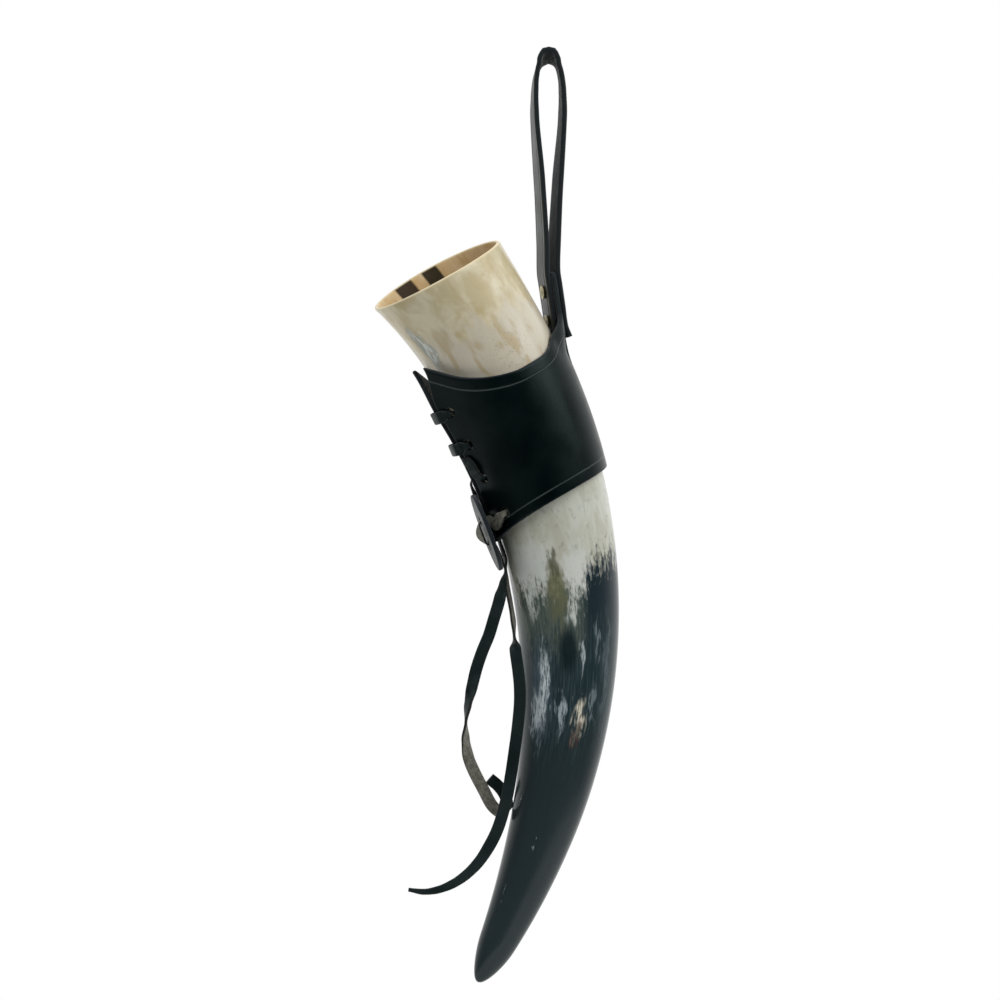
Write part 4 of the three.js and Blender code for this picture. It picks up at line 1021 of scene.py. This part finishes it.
def lace_route():
    """Stations of the held lace, from the right end's root to the left end's."""

    def between(row):
        """A distance along the horn by its row of holes, with 1.5 halfway from the second to the third."""
        return lerp(HOLE_ROWS[int(row)], HOLE_ROWS[int(row) + 1], row % 1)

    def inside(hand, s, inset, look, depth=0):
        return lace_station(hand, s, inset, INSIDE - depth, (look, 0, 0), LACE_WIDTH, PRESSED)

    def outside(hand, s, inset, height):
        return lace_station(hand, s, inset, height, (1, 0, 0), LACE_WIDTH, LACE_THICK)

    slope = (FLAP_FIRST_HOLE - FLAP_BOTTOM) / (LACING_BOTTOM - HOLE_ROWS[0])
    clear = FOLD_GAPS * LACE_GAP + PRESSED / 2
    fold = []
    for inset, height, out, inward in (
            (FOLD_RUN, -clear, -1, 0),
            (CROSS_INSET, -clear, -1, 0),
            (-0.8 * clear, -0.6 * clear, -0.6, -0.8),
            (-clear, LEATHER / 2, 0, -1),
            (-0.8 * clear, LEATHER + 0.6 * clear, 0.6, -0.8),
            (CROSS_INSET, LEATHER + clear, 1, 0),
            (FOLD_RUN, LEATHER + clear, 1, 0)):
        s = between(FOLD_ROW) - inset * slope
        look = (out, inward, -inward * slope)
        fold.append(lace_station(NEAR, s, inset, height, look, FOLDED, PRESSED))
    face = BUTTON_THICK / 2
    hole = BUTTON_HOLES / 2

    def button(up, outward, look, width, thick, across=0):
        facing = BUTTON_UP * look[0] + BUTTON_OUT * look[1] + BUTTON_ACROSS * look[2]
        return button_place(across, up, outward) + SHIFT, facing, width, thick

    knot = HOLE_ROWS[3] + KNOT_DROP
    return [
        inside(FAR, LACING_BOTTOM + RIGHT_ROOT_DROP, RIGHT_ROOT_INSET, 1),
        inside(FAR, LACING_BOTTOM - RIGHT_ROOT_INSET, RIGHT_LEAD_INSET, 1),
        *hole_pass(FAR, 3, (0.7, -0.7), (-0.6, 0.8))[::-1],
        outside(FAR, between(2.5), HOLE_INSETS[3], OUTSIDE),
        *hole_pass(FAR, 2, (0, 1), (-0.97, -0.25)),
        inside(FAR, between(1.3), SLANT_INSET, -1, BACK_SAG),
        inside(FAR, between(1.04), -BACK_EDGE_INSET, -1, 2 * BACK_SAG),
        *hole_pass(NEAR, 1, (-1, 0), (-1, 0))[::-1],
        outside(NEAR, HOLE_ROWS[1], DOUBLED_INSET, OVER),
        outside(FAR, HOLE_ROWS[1], DOUBLED_INSET, OUTSIDE + DOUBLED_LIFT),
        *hole_pass(FAR, 1, (-1, 0), (0, -1)),
        *hole_pass(FAR, 0, (-1, 0), (0, 1))[::-1],
        outside(FAR, HOLE_ROWS[0], CROSS_INSET, OUTSIDE + CROSS_LIFT),
        outside(NEAR, HOLE_ROWS[0], CROSS_INSET, OUTSIDE + CROSS_LIFT),
        *hole_pass(NEAR, 0, (-1, 0), (0.2, 0.98)),
        inside(NEAR, between(0.6), BACK_INSET, -1, BACK_SAG),
        inside(NEAR, between(1.02), BACK_INSET, -1, BACK_SAG),
        inside(NEAR, between(1.28), KNOT_INSET, -1, BACK_SAG),
        *fold,
        outside(NEAR, between(1.66), SLANT_INSET, OUTSIDE + CROSS_LIFT),
        *hole_pass(NEAR, 2, (-0.6, -0.8), (0.3, 0.95)),
        *hole_pass(NEAR, 3, (-0.85, 0.5), (-0.3, -0.95), -1)[::-1],
        lace_station(NEAR, knot, KNOT_INSET, OUTSIDE + KNOT_LIFT, (-1, 0, 0), LACE_WIDTH, LACE_THICK),
        button(hole + CROSS_LIFT, -face - DOUBLED_INSET, (-1, -0.3, 0), GATHERED, PRESSED, LIP_RUN),
        button(hole, 0, (-1, 0, 0), GATHERED, PRESSED),
        button(hole - LIP_RUN, face + LIP_DROP, (-0.8, -0.6, 0), GATHERED, PRESSED),
        button(0, face + LACE_GAP + BUTTON_LACE_LIFT, (0, -0.8, -0.6), FOLDED, LACE_THICK),
        button(LIP_RUN - hole, face + LIP_DROP, (0.8, -0.6, 0), GATHERED, PRESSED),
        button(-hole, 0, (1, 0, 0), GATHERED, PRESSED),
        button(-hole - LIP_RUN, -face - LIP_DROP, (0.8, -0.6, 0), GATHERED, PRESSED),
        button(-hole - LEFT_LEAD_DROP, -face - LACE_GAP - LIP_DROP, (0, -1, 0), LACE_WIDTH, PRESSED),
        button(-hole - LEFT_ROOT_DROP, -face - LACE_GAP - BACK_EDGE_INSET, (0, -1, 0), LACE_WIDTH, PRESSED),
    ]


# Horn: outer skin from tip to rim, a rounded lip, and the bored cavity

HORN_SIDES = 128
OUTER_ROWS = 160
LIP_ROWS = 6
INNER_ROWS = 80
# The horn's colours are laid out on a straight tube of this radius
GROWTH_RADIUS = 30
# Relief of the horn's skin
FIBRE_RELIEF = 0.01
CLOUD_RELIEF = 0.3


def dome(tree, value, low, high):
    """A share that rounds off from 1 at low to 0 at high, like a quarter of an ellipse."""
    into = node(tree, "ShaderNodeMapRange", [value, low, high])
    into = node(tree, "ShaderNodeMath", [into], operation="ARCSINE")
    return node(tree, "ShaderNodeMath", [into], operation="COSINE")


def make_horn(material):
    tree, size = new_tree("horn", (
        "Length", "Mouth radius", "Taper", "Bulge", "Flare", "Flare length", "Nose length", "Straightening",
        "Straight length", "Rim wall", "Floor wall", "Cavity depth", "Cavity floor", "Bend", "Mouth angle"))
    columns = HORN_SIDES + 1
    rim_row = OUTER_ROWS + LIP_ROWS
    index = node(tree, "GeometryNodeInputIndex")
    row = node(tree, "ShaderNodeMath", [index, columns], operation="DIVIDE")
    row = node(tree, "ShaderNodeMath", [row], operation="FLOOR")
    column = node(tree, "ShaderNodeMath", [index, columns], operation="MODULO")
    turn = node(tree, "ShaderNodeMath", [column, 2 * math.pi / HORN_SIDES], operation="MULTIPLY")
    cosine = node(tree, "ShaderNodeMath", [turn], operation="COSINE")
    sine = node(tree, "ShaderNodeMath", [turn], operation="SINE")
    outside = node(tree, "ShaderNodeMath", [row, OUTER_ROWS - 0.5], operation="LESS_THAN")
    inside = node(tree, "ShaderNodeMath", [row, rim_row + 0.5], operation="GREATER_THAN")
    within = node(tree, "ShaderNodeMapRange", [row, OUTER_ROWS, rim_row])

    # Distance of each row from the mouth: close together at the tip, the lip and the floor
    quarter = node(tree, "ShaderNodeMath", [row, math.pi / (2 * OUTER_ROWS)], operation="MULTIPLY")
    quarter = node(tree, "ShaderNodeMath", [quarter], operation="COSINE")
    outer_s = node(tree, "ShaderNodeMath", [size["Length"], quarter], operation="MULTIPLY")
    inner_share = node(tree, "ShaderNodeMapRange", [row, rim_row, rim_row + INNER_ROWS, 0, math.pi / 2])
    inner_share = node(tree, "ShaderNodeMath", [inner_share], operation="SINE")
    inner_s = node(tree, "ShaderNodeMath", [size["Cavity depth"], inner_share], operation="MULTIPLY")
    lip = node(tree, "ShaderNodeMath", [size["Rim wall"], 0.5], operation="MULTIPLY")
    half_turn = node(tree, "ShaderNodeMath", [within, math.pi], operation="MULTIPLY")
    lip_sine = node(tree, "ShaderNodeMath", [half_turn], operation="SINE")
    lip_cosine = node(tree, "ShaderNodeMath", [half_turn], operation="COSINE")
    lip_drop = node(tree, "ShaderNodeMath", [lip, lip_sine], operation="MULTIPLY")
    lip_s = node(tree, "ShaderNodeMath", [lip, lip_drop], operation="SUBTRACT")
    s = node(tree, "GeometryNodeSwitch", [inside, lip_s, inner_s], input_type="FLOAT")
    s = node(tree, "GeometryNodeSwitch", [outside, s, outer_s], input_type="FLOAT")

    # Radius: a bulging cone with a flare at the mouth and a rounded nose, and a wall round the cavity
    cone = node(tree, "ShaderNodeMath", [size["Bulge"], s, size["Taper"]], operation="MULTIPLY_ADD")
    cone = node(tree, "ShaderNodeMath", [cone, s, size["Mouth radius"]], operation="MULTIPLY_ADD")
    cone = node(tree, "ShaderNodeMath", [cone, size["Flare"]], operation="SUBTRACT")
    flare = node(tree, "ShaderNodeMapRange", [s, 0, size["Flare length"], 1, 0])
    flare = node(tree, "ShaderNodeMath", [flare, flare], operation="MULTIPLY")
    cone = node(tree, "ShaderNodeMath", [flare, size["Flare"], cone], operation="MULTIPLY_ADD")
    nose = node(tree, "ShaderNodeMath", [size["Length"], size["Nose length"]], operation="SUBTRACT")
    nose_dome = dome(tree, s, nose, size["Length"])
    skin = node(tree, "ShaderNodeMath", [cone, nose_dome], operation="MULTIPLY")
    depth_share = node(tree, "ShaderNodeMath", [s, size["Cavity depth"]], operation="DIVIDE")
    depth_share = node(tree, "ShaderNodeMath", [depth_share, depth_share], operation="MULTIPLY")
    wall = node(tree, "ShaderNodeMapRange", [depth_share, 0, 1, size["Rim wall"], size["Floor wall"]])
    bore = node(tree, "ShaderNodeMath", [skin, wall], operation="SUBTRACT")
    depth = size["Cavity depth"]
    floor_start = node(tree, "ShaderNodeMath", [depth, size["Cavity floor"]], operation="SUBTRACT")
    floor_dome = dome(tree, s, floor_start, depth)
    bore = node(tree, "ShaderNodeMath", [bore, floor_dome], operation="MULTIPLY")
    lip_middle = node(tree, "ShaderNodeMath", [size["Mouth radius"], lip], operation="SUBTRACT")
    lip_radius = node(tree, "ShaderNodeMath", [lip, lip_cosine, lip_middle], operation="MULTIPLY_ADD")
    radius = node(tree, "GeometryNodeSwitch", [inside, lip_radius, bore], input_type="FLOAT")
    radius = node(tree, "GeometryNodeSwitch", [outside, radius, skin], input_type="FLOAT")

    # Place: the rim is cut on a slant that fades out down the horn, and the middle line is an arc
    # that straightens a little towards the tip
    outward = node(tree, "ShaderNodeMath", [radius, cosine], operation="MULTIPLY")
    across = node(tree, "ShaderNodeMath", [radius, sine], operation="MULTIPLY")
    lean = node(tree, "ShaderNodeMath", [across, -RIM_LEAN], operation="MULTIPLY")
    slant = node(tree, "ShaderNodeMath", [outward, RIM_SLOPE, lean], operation="MULTIPLY_ADD")
    mouth_width = node(tree, "ShaderNodeMath", [size["Mouth radius"], 2], operation="MULTIPLY")
    fade = node(tree, "ShaderNodeMapRange", [s, 0, mouth_width, 1, 0])
    along = node(tree, "ShaderNodeMath", [fade, slant, s], operation="MULTIPLY_ADD")
    straight = node(tree, "ShaderNodeMath", [size["Length"], size["Straight length"]], operation="SUBTRACT")
    straight = node(tree, "ShaderNodeMapRange", [s, straight, size["Length"]])
    straight = node(tree, "ShaderNodeMath", [straight, straight], operation="MULTIPLY")
    moved = [straight, size["Straightening"], outward]
    outward = node(tree, "ShaderNodeMath", moved, operation="MULTIPLY_ADD")
    reach = node(tree, "ShaderNodeMath", [size["Bend"], outward], operation="ADD")
    angle = node(tree, "ShaderNodeMath", [along, size["Bend"]], operation="DIVIDE")
    angle = node(tree, "ShaderNodeMath", [size["Mouth angle"], angle], operation="SUBTRACT")
    angle_cosine = node(tree, "ShaderNodeMath", [angle], operation="COSINE")
    angle_sine = node(tree, "ShaderNodeMath", [angle], operation="SINE")
    x = node(tree, "ShaderNodeMath", [reach, angle_cosine], operation="MULTIPLY")
    z = node(tree, "ShaderNodeMath", [reach, angle_sine], operation="MULTIPLY")
    place = node(tree, "ShaderNodeCombineXYZ", [x, across, z])
    place = node(tree, "ShaderNodeVectorMath", [place, SHIFT], operation="ADD")
    place = node(tree, "ShaderNodeVectorMath", {"Vector": place, "Scale": MM}, operation="SCALE")
    grid = node(tree, "GeometryNodeMeshGrid", [1, 1, rim_row + INNER_ROWS + 1, columns])
    shape = node(tree, "GeometryNodeSetPosition", {"Geometry": grid, "Position": place})

    # What the horn's colours follow: the way round and along it, and how far inside the lip
    round_x = node(tree, "ShaderNodeMath", [cosine, GROWTH_RADIUS], operation="MULTIPLY")
    round_y = node(tree, "ShaderNodeMath", [sine, GROWTH_RADIUS], operation="MULTIPLY")
    growth = node(tree, "ShaderNodeCombineXYZ", [round_x, round_y, s])
    stored = {"Geometry": shape, "Name": "growth", "Value": growth}
    shape = node(tree, "GeometryNodeStoreNamedAttribute", stored, data_type="FLOAT_VECTOR")
    stored = {"Geometry": shape, "Name": "within", "Value": within}
    shape = node(tree, "GeometryNodeStoreNamedAttribute", stored, data_type="FLOAT")
    shape = node(tree, "GeometryNodeMergeByDistance", {"Geometry": shape, "Distance": SEAM * MM})
    end_tree(tree, shape, material)

    middle, nose_start = HORN_LENGTH / 2, HORN_LENGTH - NOSE_LENGTH
    mouth = MOUTH_RADIUS - MOUTH_FLARE
    first = (MIDDLE_RADIUS - mouth) / middle
    second = (NOSE_RADIUS - mouth) / nose_start
    bulge = (second - first) / (nose_start - middle)
    taper = first - bulge * middle
    horn = grown("horn_body", tree, {
        "Length": HORN_LENGTH, "Mouth radius": MOUTH_RADIUS, "Taper": taper, "Bulge": bulge,
        "Flare": MOUTH_FLARE, "Flare length": FLARE_LENGTH, "Nose length": NOSE_LENGTH,
        "Straightening": TIP_STRAIGHTENING, "Straight length": STRAIGHT_LENGTH, "Rim wall": RIM_WALL,
        "Floor wall": FLOOR_WALL, "Cavity depth": CAVITY_DEPTH, "Cavity floor": CAVITY_FLOOR,
        "Bend": BEND, "Mouth angle": MOUTH_ANGLE})
    stands_for(horn, "drinking_horn", "horn_keratin", "horn")


def make_horn_material():
    """Polished cow horn: ivory at the mouth, grey-white below the sleeve, near black at the tip. It
    gives the eye a smooth gloss over streaks that run along the horn."""
    material, tree = new_material("horn_keratin")
    growth = node(tree, "ShaderNodeAttribute", (), "Vector", attribute_name="growth")
    within = node(tree, "ShaderNodeAttribute", (), "Fac", attribute_name="within")
    s = node(tree, "ShaderNodeSeparateXYZ", [growth], "Z")
    round_x = node(tree, "ShaderNodeSeparateXYZ", [growth], "X")
    round_y = node(tree, "ShaderNodeSeparateXYZ", [growth], "Y")
    angle = node(tree, "ShaderNodeMath", [round_y, round_x], operation="ARCTAN2")
    angle = node(tree, "ShaderNodeMath", [angle, 180 / math.pi], operation="MULTIPLY")

    def drawn(length, size, detail=3.0, rough=0.55, distortion=0.0):
        """Spots some millimetres wide and drawn out along the horn by the length."""
        drawn_out = node(tree, "ShaderNodeVectorMath", [growth, (1, 1, 1 / length)], operation="MULTIPLY")
        spots = {"Vector": drawn_out, "Scale": 1 / size, "Detail": detail, "Roughness": rough}
        return node(tree, "ShaderNodeTexNoise", {**spots, "Distortion": distortion}, "Fac")

    def frayed(value, streaks, reach):
        """The value, moved to and fro by the streaks."""
        offset = node(tree, "ShaderNodeMath", [streaks, 0.5], operation="SUBTRACT")
        return node(tree, "ShaderNodeMath", [offset, reach, value], operation="MULTIPLY_ADD")

    def laid(colour, share, tint, strength=1.0):
        """A tint laid over a colour where the share is high."""
        share = node(tree, "ShaderNodeMath", [share, strength], operation="MULTIPLY")
        return node(tree, "ShaderNodeMix", {0: share, 6: colour, 7: srgb(tint)}, **COLOURS)

    def streaked(streaks, low, high, first, second):
        """Two hex colours that change over where the streaks pass from low to high."""
        share = node(tree, "ShaderNodeMapRange", [streaks, low, high], **SMOOTH)
        return node(tree, "ShaderNodeMix", {0: share, 6: srgb(first), 7: srgb(second)}, **COLOURS)

    def flecked(colour, streaks, low, high, tint, strength):
        """A tint laid where the streaks are over low, in full over high."""
        share = node(tree, "ShaderNodeMapRange", [streaks, low, high], **SMOOTH)
        return laid(colour, share, tint, strength)

    # The fibres of real horn are finer than a pixel, so they are drawn coarser, to show
    fibres = drawn(16, 0.9, 3, 0.6)
    wisps = drawn(5, 1.7, 5, 0.7, 0.4)
    fringe = drawn(3, 7, 5, 0.7)
    clouds = drawn(1.8, 12, 4, 0.6, 0.5)
    specks = drawn(1.5, 2.2, 3, 0.6)
    broken = node(tree, "ShaderNodeMapRange", [drawn(5, 1.3, 4, 0.7), 0.36, 0.54], **SMOOTH)
    drift_s = frayed(s, drawn(1.5, 6, 2), 22)
    drift_angle = frayed(angle, drawn(2.5, 4.5, 2), 26)

    def mark(at_s, at_angle, half_length, half_width, soft=0.5, ragged=2.2, loose=True):
        """A patch with feathered edges at a distance from the mouth and an angle round the horn."""
        along = node(tree, "ShaderNodeMath", [drift_s if loose else s, at_s], operation="SUBTRACT")
        along = node(tree, "ShaderNodeMath", [along, half_length], operation="DIVIDE")
        turned_to = drift_angle if loose else angle
        around = node(tree, "ShaderNodeMath", [turned_to, at_angle], operation="SUBTRACT")
        around = node(tree, "ShaderNodeMath", [around, half_width], operation="DIVIDE")
        away = node(tree, "ShaderNodeMath", [around, around], operation="MULTIPLY")
        away = node(tree, "ShaderNodeMath", [along, along, away], operation="MULTIPLY_ADD")
        away = node(tree, "ShaderNodeMath", [away], operation="SQRT")
        torn = frayed(away, wisps, ragged)
        return node(tree, "ShaderNodeMapRange", [torn, 1 + soft / 2, 1 - soft / 2], **SMOOTH)

    # Ivory mouth: yellowish blocks near the rim, whitish clouds and small tan patches lower down
    blocks = drawn(2.4, 10, 3, 0.5, 0.3)
    ivory = streaked(clouds, 0.38, 0.6, "#c2b592", "#d6cdb2")
    ivory = flecked(ivory, blocks, 0.46, 0.62, "#b9a97e", 0.6)
    lower = node(tree, "ShaderNodeMapRange", [frayed(s, fringe, 60), 20, 38], **SMOOTH)
    ivory = laid(ivory, lower, "#cbc5b8", 0.7)
    tan = node(tree, "ShaderNodeMapRange", [blocks, 0.5, 0.6], **SMOOTH)
    tan = node(tree, "ShaderNodeMath", [lower, tan], operation="MULTIPLY")
    ivory = laid(ivory, tan, "#b7a278", 0.6)
    ivory = laid(ivory, mark(30, -157, 13, 5, 0.8, 2), "#7d8a8c", 0.65)
    ivory = laid(ivory, mark(30, -156, 11, 2.2, 0.8, 2), "#d7dbd6", 0.75)
    curls = {"Vector": growth, "Scale": 1 / 5.0, "Detail": 4, "Roughness": 0.6, "Distortion": 1.5}
    curls = node(tree, "ShaderNodeTexNoise", curls, "Fac")
    scratch = node(tree, "ShaderNodeMath", [curls, 0.5], operation="SUBTRACT")
    scratch = node(tree, "ShaderNodeMath", [scratch], operation="ABSOLUTE")
    scratch = node(tree, "ShaderNodeMapRange", [scratch, 0.012, 0.003], **SMOOTH)
    scratch = node(tree, "ShaderNodeMath", [scratch, mark(48, -86, 12, 22, 0.9, 1)], operation="MULTIPLY")
    ivory = laid(ivory, scratch, "#7f735a", 0.6)
    # Grey-white under and below the sleeve, with small soft grey flecks
    pale = streaked(clouds, 0.36, 0.62, "#b4b4a5", "#c4c6bc")
    pale = flecked(pale, specks, 0.56, 0.72, "#8f9188", 0.5)
    pale = flecked(pale, fibres, 0.56, 0.72, "#9c9e94", 0.4)
    pale = laid(pale, mark(160, -142, 12, 22, 1, 2), "#ced3d0", 0.7)
    pale = laid(pale, mark(165, -92, 10, 16, 1, 2), "#cdd1cc", 0.7)
    under_sleeve = node(tree, "ShaderNodeMapRange", [s, 62, 110], **SMOOTH)
    colour = node(tree, "ShaderNodeMix", {0: under_sleeve, 6: ivory, 7: pale}, **COLOURS)
    colour = laid(colour, mark(170, -114, 14, 10, 0.8, 1.2), "#6b6a47", 0.85)
    colour = laid(colour, mark(159, -113, 6, 5, 0.9, 2.5), "#47483a", 0.6)
    # The dark part starts with a torn fringe, sooner on the outer bend: grey-green, then slate
    torn = frayed(frayed(frayed(s, wisps, 34), fringe, 30), specks, 24)
    sooner = node(tree, "ShaderNodeMapRange", [angle, -92, -62, 0, 12], **SMOOTH)
    torn = node(tree, "ShaderNodeMath", [torn, sooner], operation="ADD")
    grey_green = streaked(fibres, 0.4, 0.65, "#47534f", "#5d655d")
    outer_bend = node(tree, "ShaderNodeMapRange", [angle, -96, -78], **SMOOTH)
    dark = node(tree, "ShaderNodeMix", {0: outer_bend, 6: grey_green, 7: srgb("#1f2c32")}, **COLOURS)
    slate = streaked(fibres, 0.42, 0.68, "#223034", "#364448")
    into_slate = node(tree, "ShaderNodeMapRange", [torn, 186, 214], **SMOOTH)
    dark = node(tree, "ShaderNodeMix", {0: into_slate, 6: dark, 7: slate}, **COLOURS)
    dark = laid(dark, mark(168, -114, 24, 9, 1, 1.2), "#696a4b", 0.6)
    into_dark = node(tree, "ShaderNodeMapRange", [torn, 164, 179], **SMOOTH)
    colour = node(tree, "ShaderNodeMix", {0: into_dark, 6: colour, 7: dark}, **COLOURS)
    colour = laid(colour, mark(203, -105, 11, 10, 0.9, 0.5, False), "#152226", 0.9)
    # Over the dark part, a bluish-grey patch towards the left that is a painted reflection of the soft
    # light, then torn pale
    # wisps: distance, angle, half length, half width, tint and strength
    colour = laid(colour, mark(224, -140, 22, 15, 1.4, 1.5), "#50606a", 0.6)
    for at_s, at_angle, length, width, tint, strength in (
            (176, -147, 8, 7, "#c3c9c4", 0.9), (181, -100, 8, 6, "#c6cbc5", 0.9),
            (221, -135, 15, 6, "#ccd5d9", 0.85), (238, -145, 9, 8, "#b8c2c7", 0.85),
            (235, -110, 8, 5, "#aebac0", 0.75), (237, -87, 9, 6, "#d6d0be", 0.95),
            (246, -88, 6, 6, "#45322b", 0.85), (208, -89, 7, 3, "#b9c3c7", 0.8),
            (198, -71, 8, 2.5, "#8a979c", 0.6), (212, -53, 20, 5, "#5b686e", 0.6),
            (232, -70, 8, 3.5, "#7f8b90", 0.6), (253, -140, 13, 4, "#6f7a80", 0.6)):
        wisp = mark(at_s, at_angle, length, width, 1.2, 2.4)
        wisp = node(tree, "ShaderNodeMath", [wisp, broken], operation="MULTIPLY")
        colour = laid(colour, wisp, tint, strength)
    colour = flecked(colour, torn, 241, 266, "#252f32", 0.95)
    # A few light scratches on the dark end
    for at_s, at_angle in ((283, -158), (303, -112), (330, -140)):
        colour = laid(colour, mark(at_s, at_angle, 1.8, 1, 0.6, 2), "#8d9698", 0.6)
    # Inner wall: tan, with brown-black stripes that run down from the rim
    wall = streaked(clouds, 0.35, 0.65, "#c9ab7c", "#dcc59e")
    wall = laid(wall, mark(10, 109, 40, 10, 0.3, 0.2, False), "#261a15", 0.95)
    wall = laid(wall, mark(10, 81, 40, 7.5, 0.3, 0.2, False), "#1f1d16", 0.95)
    wall = laid(wall, mark(20, 127, 14, 2.5, 0.5, 0.3, False), "#7a5636", 0.8)
    wall = flecked(wall, s, 40, 120, "#6b5334", 0.8)
    inner_side = node(tree, "ShaderNodeMapRange", [within, 0.55, 1], **SMOOTH)
    colour = node(tree, "ShaderNodeMix", {0: inner_side, 6: colour, 7: wall}, **COLOURS)
    # Cream lip where the rim is cut
    lip_start = node(tree, "ShaderNodeMapRange", [within, 0.0, 0.25], **SMOOTH)
    lip_end = node(tree, "ShaderNodeMapRange", [within, 0.95, 0.6], **SMOOTH)
    lip = node(tree, "ShaderNodeMath", [lip_start, lip_end], operation="MULTIPLY")
    colour = laid(colour, lip, "#e2d3ae", 0.9)
    rough = node(tree, "ShaderNodeMapRange", [fibres, 0.3, 0.7, 0.17, 0.22], **SMOOTH)
    rough = node(tree, "ShaderNodeMath", [within, 0.4, rough], operation="MULTIPLY_ADD")
    shine = node(tree, "ShaderNodeMapRange", [within, 0.5, 1.0, 0.24, 0.1], **SMOOTH)
    height = node(tree, "ShaderNodeMath", [fibres, FIBRE_RELIEF], operation="MULTIPLY")
    height = node(tree, "ShaderNodeMath", [clouds, CLOUD_RELIEF, height], operation="MULTIPLY_ADD")
    normal = node(tree, "ShaderNodeBump", {"Strength": 0.35, "Distance": MM, "Height": height})
    end_material(tree, {"Base Color": colour, "Roughness": rough, "Specular IOR Level": shine,
                        "Normal": normal})
    return material


def make_brass():
    """Brass, stamped and antiqued: bright where the rim rubs, and a dull olive in the middle. The patina
    hides part of the metal's shine."""
    material, tree = new_material("antique_brass")
    radius = node(tree, "ShaderNodeAttribute", (), "Fac", attribute_name="radius")
    place = node(tree, "ShaderNodeTexCoord", (), "Object")
    spots = {"Vector": place, "Scale": 1 / (1.2 * MM), "Detail": 4, "Roughness": 0.6, "Distortion": 0.0}
    wear = node(tree, "ShaderNodeTexNoise", spots, "Fac")
    wear = node(tree, "ShaderNodeMath", [wear, 0.5], operation="SUBTRACT")
    worn = node(tree, "ShaderNodeMath", [wear, 0.5, radius], operation="MULTIPLY_ADD")
    rim = node(tree, "ShaderNodeMapRange", [worn, *RUBBED], **SMOOTH)
    tints = {0: rim, 6: srgb("#8b8d5e"), 7: srgb("#bdb48a")}
    colour = node(tree, "ShaderNodeMix", tints, **COLOURS)
    rough = node(tree, "ShaderNodeMath", [rim, -0.1, 0.45], operation="MULTIPLY_ADD")
    end_material(tree, {"Base Color": colour, "Metallic": 0.55, "Roughness": rough})
    return material


# Make everything, the free cords first
route = lace_route()
make_tail("lace_tail_left", route[-2], route[-1], LEFT_TAIL)
make_tail("lace_tail_right", route[1], route[0], RIGHT_TAIL)
lacing = make_strip("lacing_run", route, LACE_STEP, lace_leather)
stands_for(lacing, "holster", "lace_leather", "lacing")
make_sleeve()
make_strap()
make_rivets(make_brass())
make_button()
make_horn(make_horn_material())


# Studio: pale floor below the hanging horn, white room behind, two soft boxes in front

def soft_box(name, bearing, height, distance, width, tall, radiance):
    """An area lamp at a bearing from the camera's direction, facing the horn, its lengths in metres."""
    lamp = bpy.data.lights.new(name, "AREA")
    lamp.shape = "RECTANGLE"
    lamp.size, lamp.size_y = width, tall
    lamp.energy = radiance * math.pi * width * tall
    box = bpy.data.objects.new(name, lamp)
    bpy.context.scene.collection.objects.link(box)
    turn = VIEW + math.radians(bearing)
    side = Vector((math.sin(turn), -math.cos(turn), 0)) * distance
    box.location = side + Vector((0, 0, height)) + aim * MM
    box.rotation_mode = "QUATERNION"
    box.rotation_quaternion = (aim * MM - box.location).to_track_quat("-Z", "Y")


BOX_PLACE = {"height": 1.0, "distance": 1.3, "width": 1.6, "tall": 1.4}
soft_box("left_soft_box", bearing=-50, radiance=2.2, **BOX_PLACE)
soft_box("right_soft_box", bearing=55, radiance=3.8, **BOX_PLACE)

# Floor, in metres
FLOOR_RADIUS = 0.55
FLOOR_DROP = 0.12
FLOOR_SIDES = 96
floor_mesh = bpy.data.meshes.new("floor")
floor_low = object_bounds()[0][2] - FLOOR_DROP
turns = [2 * math.pi * k / FLOOR_SIDES for k in range(FLOOR_SIDES)]
floor_rim = [(FLOOR_RADIUS * math.cos(a), FLOOR_RADIUS * math.sin(a), floor_low) for a in turns]
floor_mesh.from_pydata(floor_rim, [], [tuple(range(FLOOR_SIDES))])
# Matt pale paint: an even, near white ground
floor, tree = new_material("pale_floor")
end_material(tree, {"Base Color": srgb("#f2f2f0"), "Roughness": 0.8})
floor_mesh.materials.append(floor)
floor_piece = bpy.data.objects.new("floor", floor_mesh)
bpy.context.scene.collection.objects.link(floor_piece)

# The room is white behind the horn and dark in front of it, and the camera sees white
world = bpy.data.worlds.new("studio")
bpy.context.scene.world = world
world.use_nodes = True
tree = world.node_tree
tree.nodes.clear()
direction = node(tree, "ShaderNodeTexCoord", (), "Generated")
behind = node(tree, "ShaderNodeVectorMath", [direction, -BACK], "Value", operation="DOT_PRODUCT")
behind = node(tree, "ShaderNodeMapRange", [behind, -0.3, 0.65], **SMOOTH)
tints = {0: behind, 6: srgb("#2a2e2f"), 7: srgb("#ffffff")}
room = node(tree, "ShaderNodeMix", tints, **COLOURS)
to_camera = node(tree, "ShaderNodeLightPath", (), "Is Camera Ray")
seen = node(tree, "ShaderNodeMix", {0: to_camera, 6: room, 7: srgb("#ffffff")}, **COLOURS)
background = node(tree, "ShaderNodeBackground", {"Color": seen, "Strength": 1.0})
node(tree, "ShaderNodeOutputWorld", {"Surface": background})
bpy.context.scene.view_settings.view_transform = "Standard"
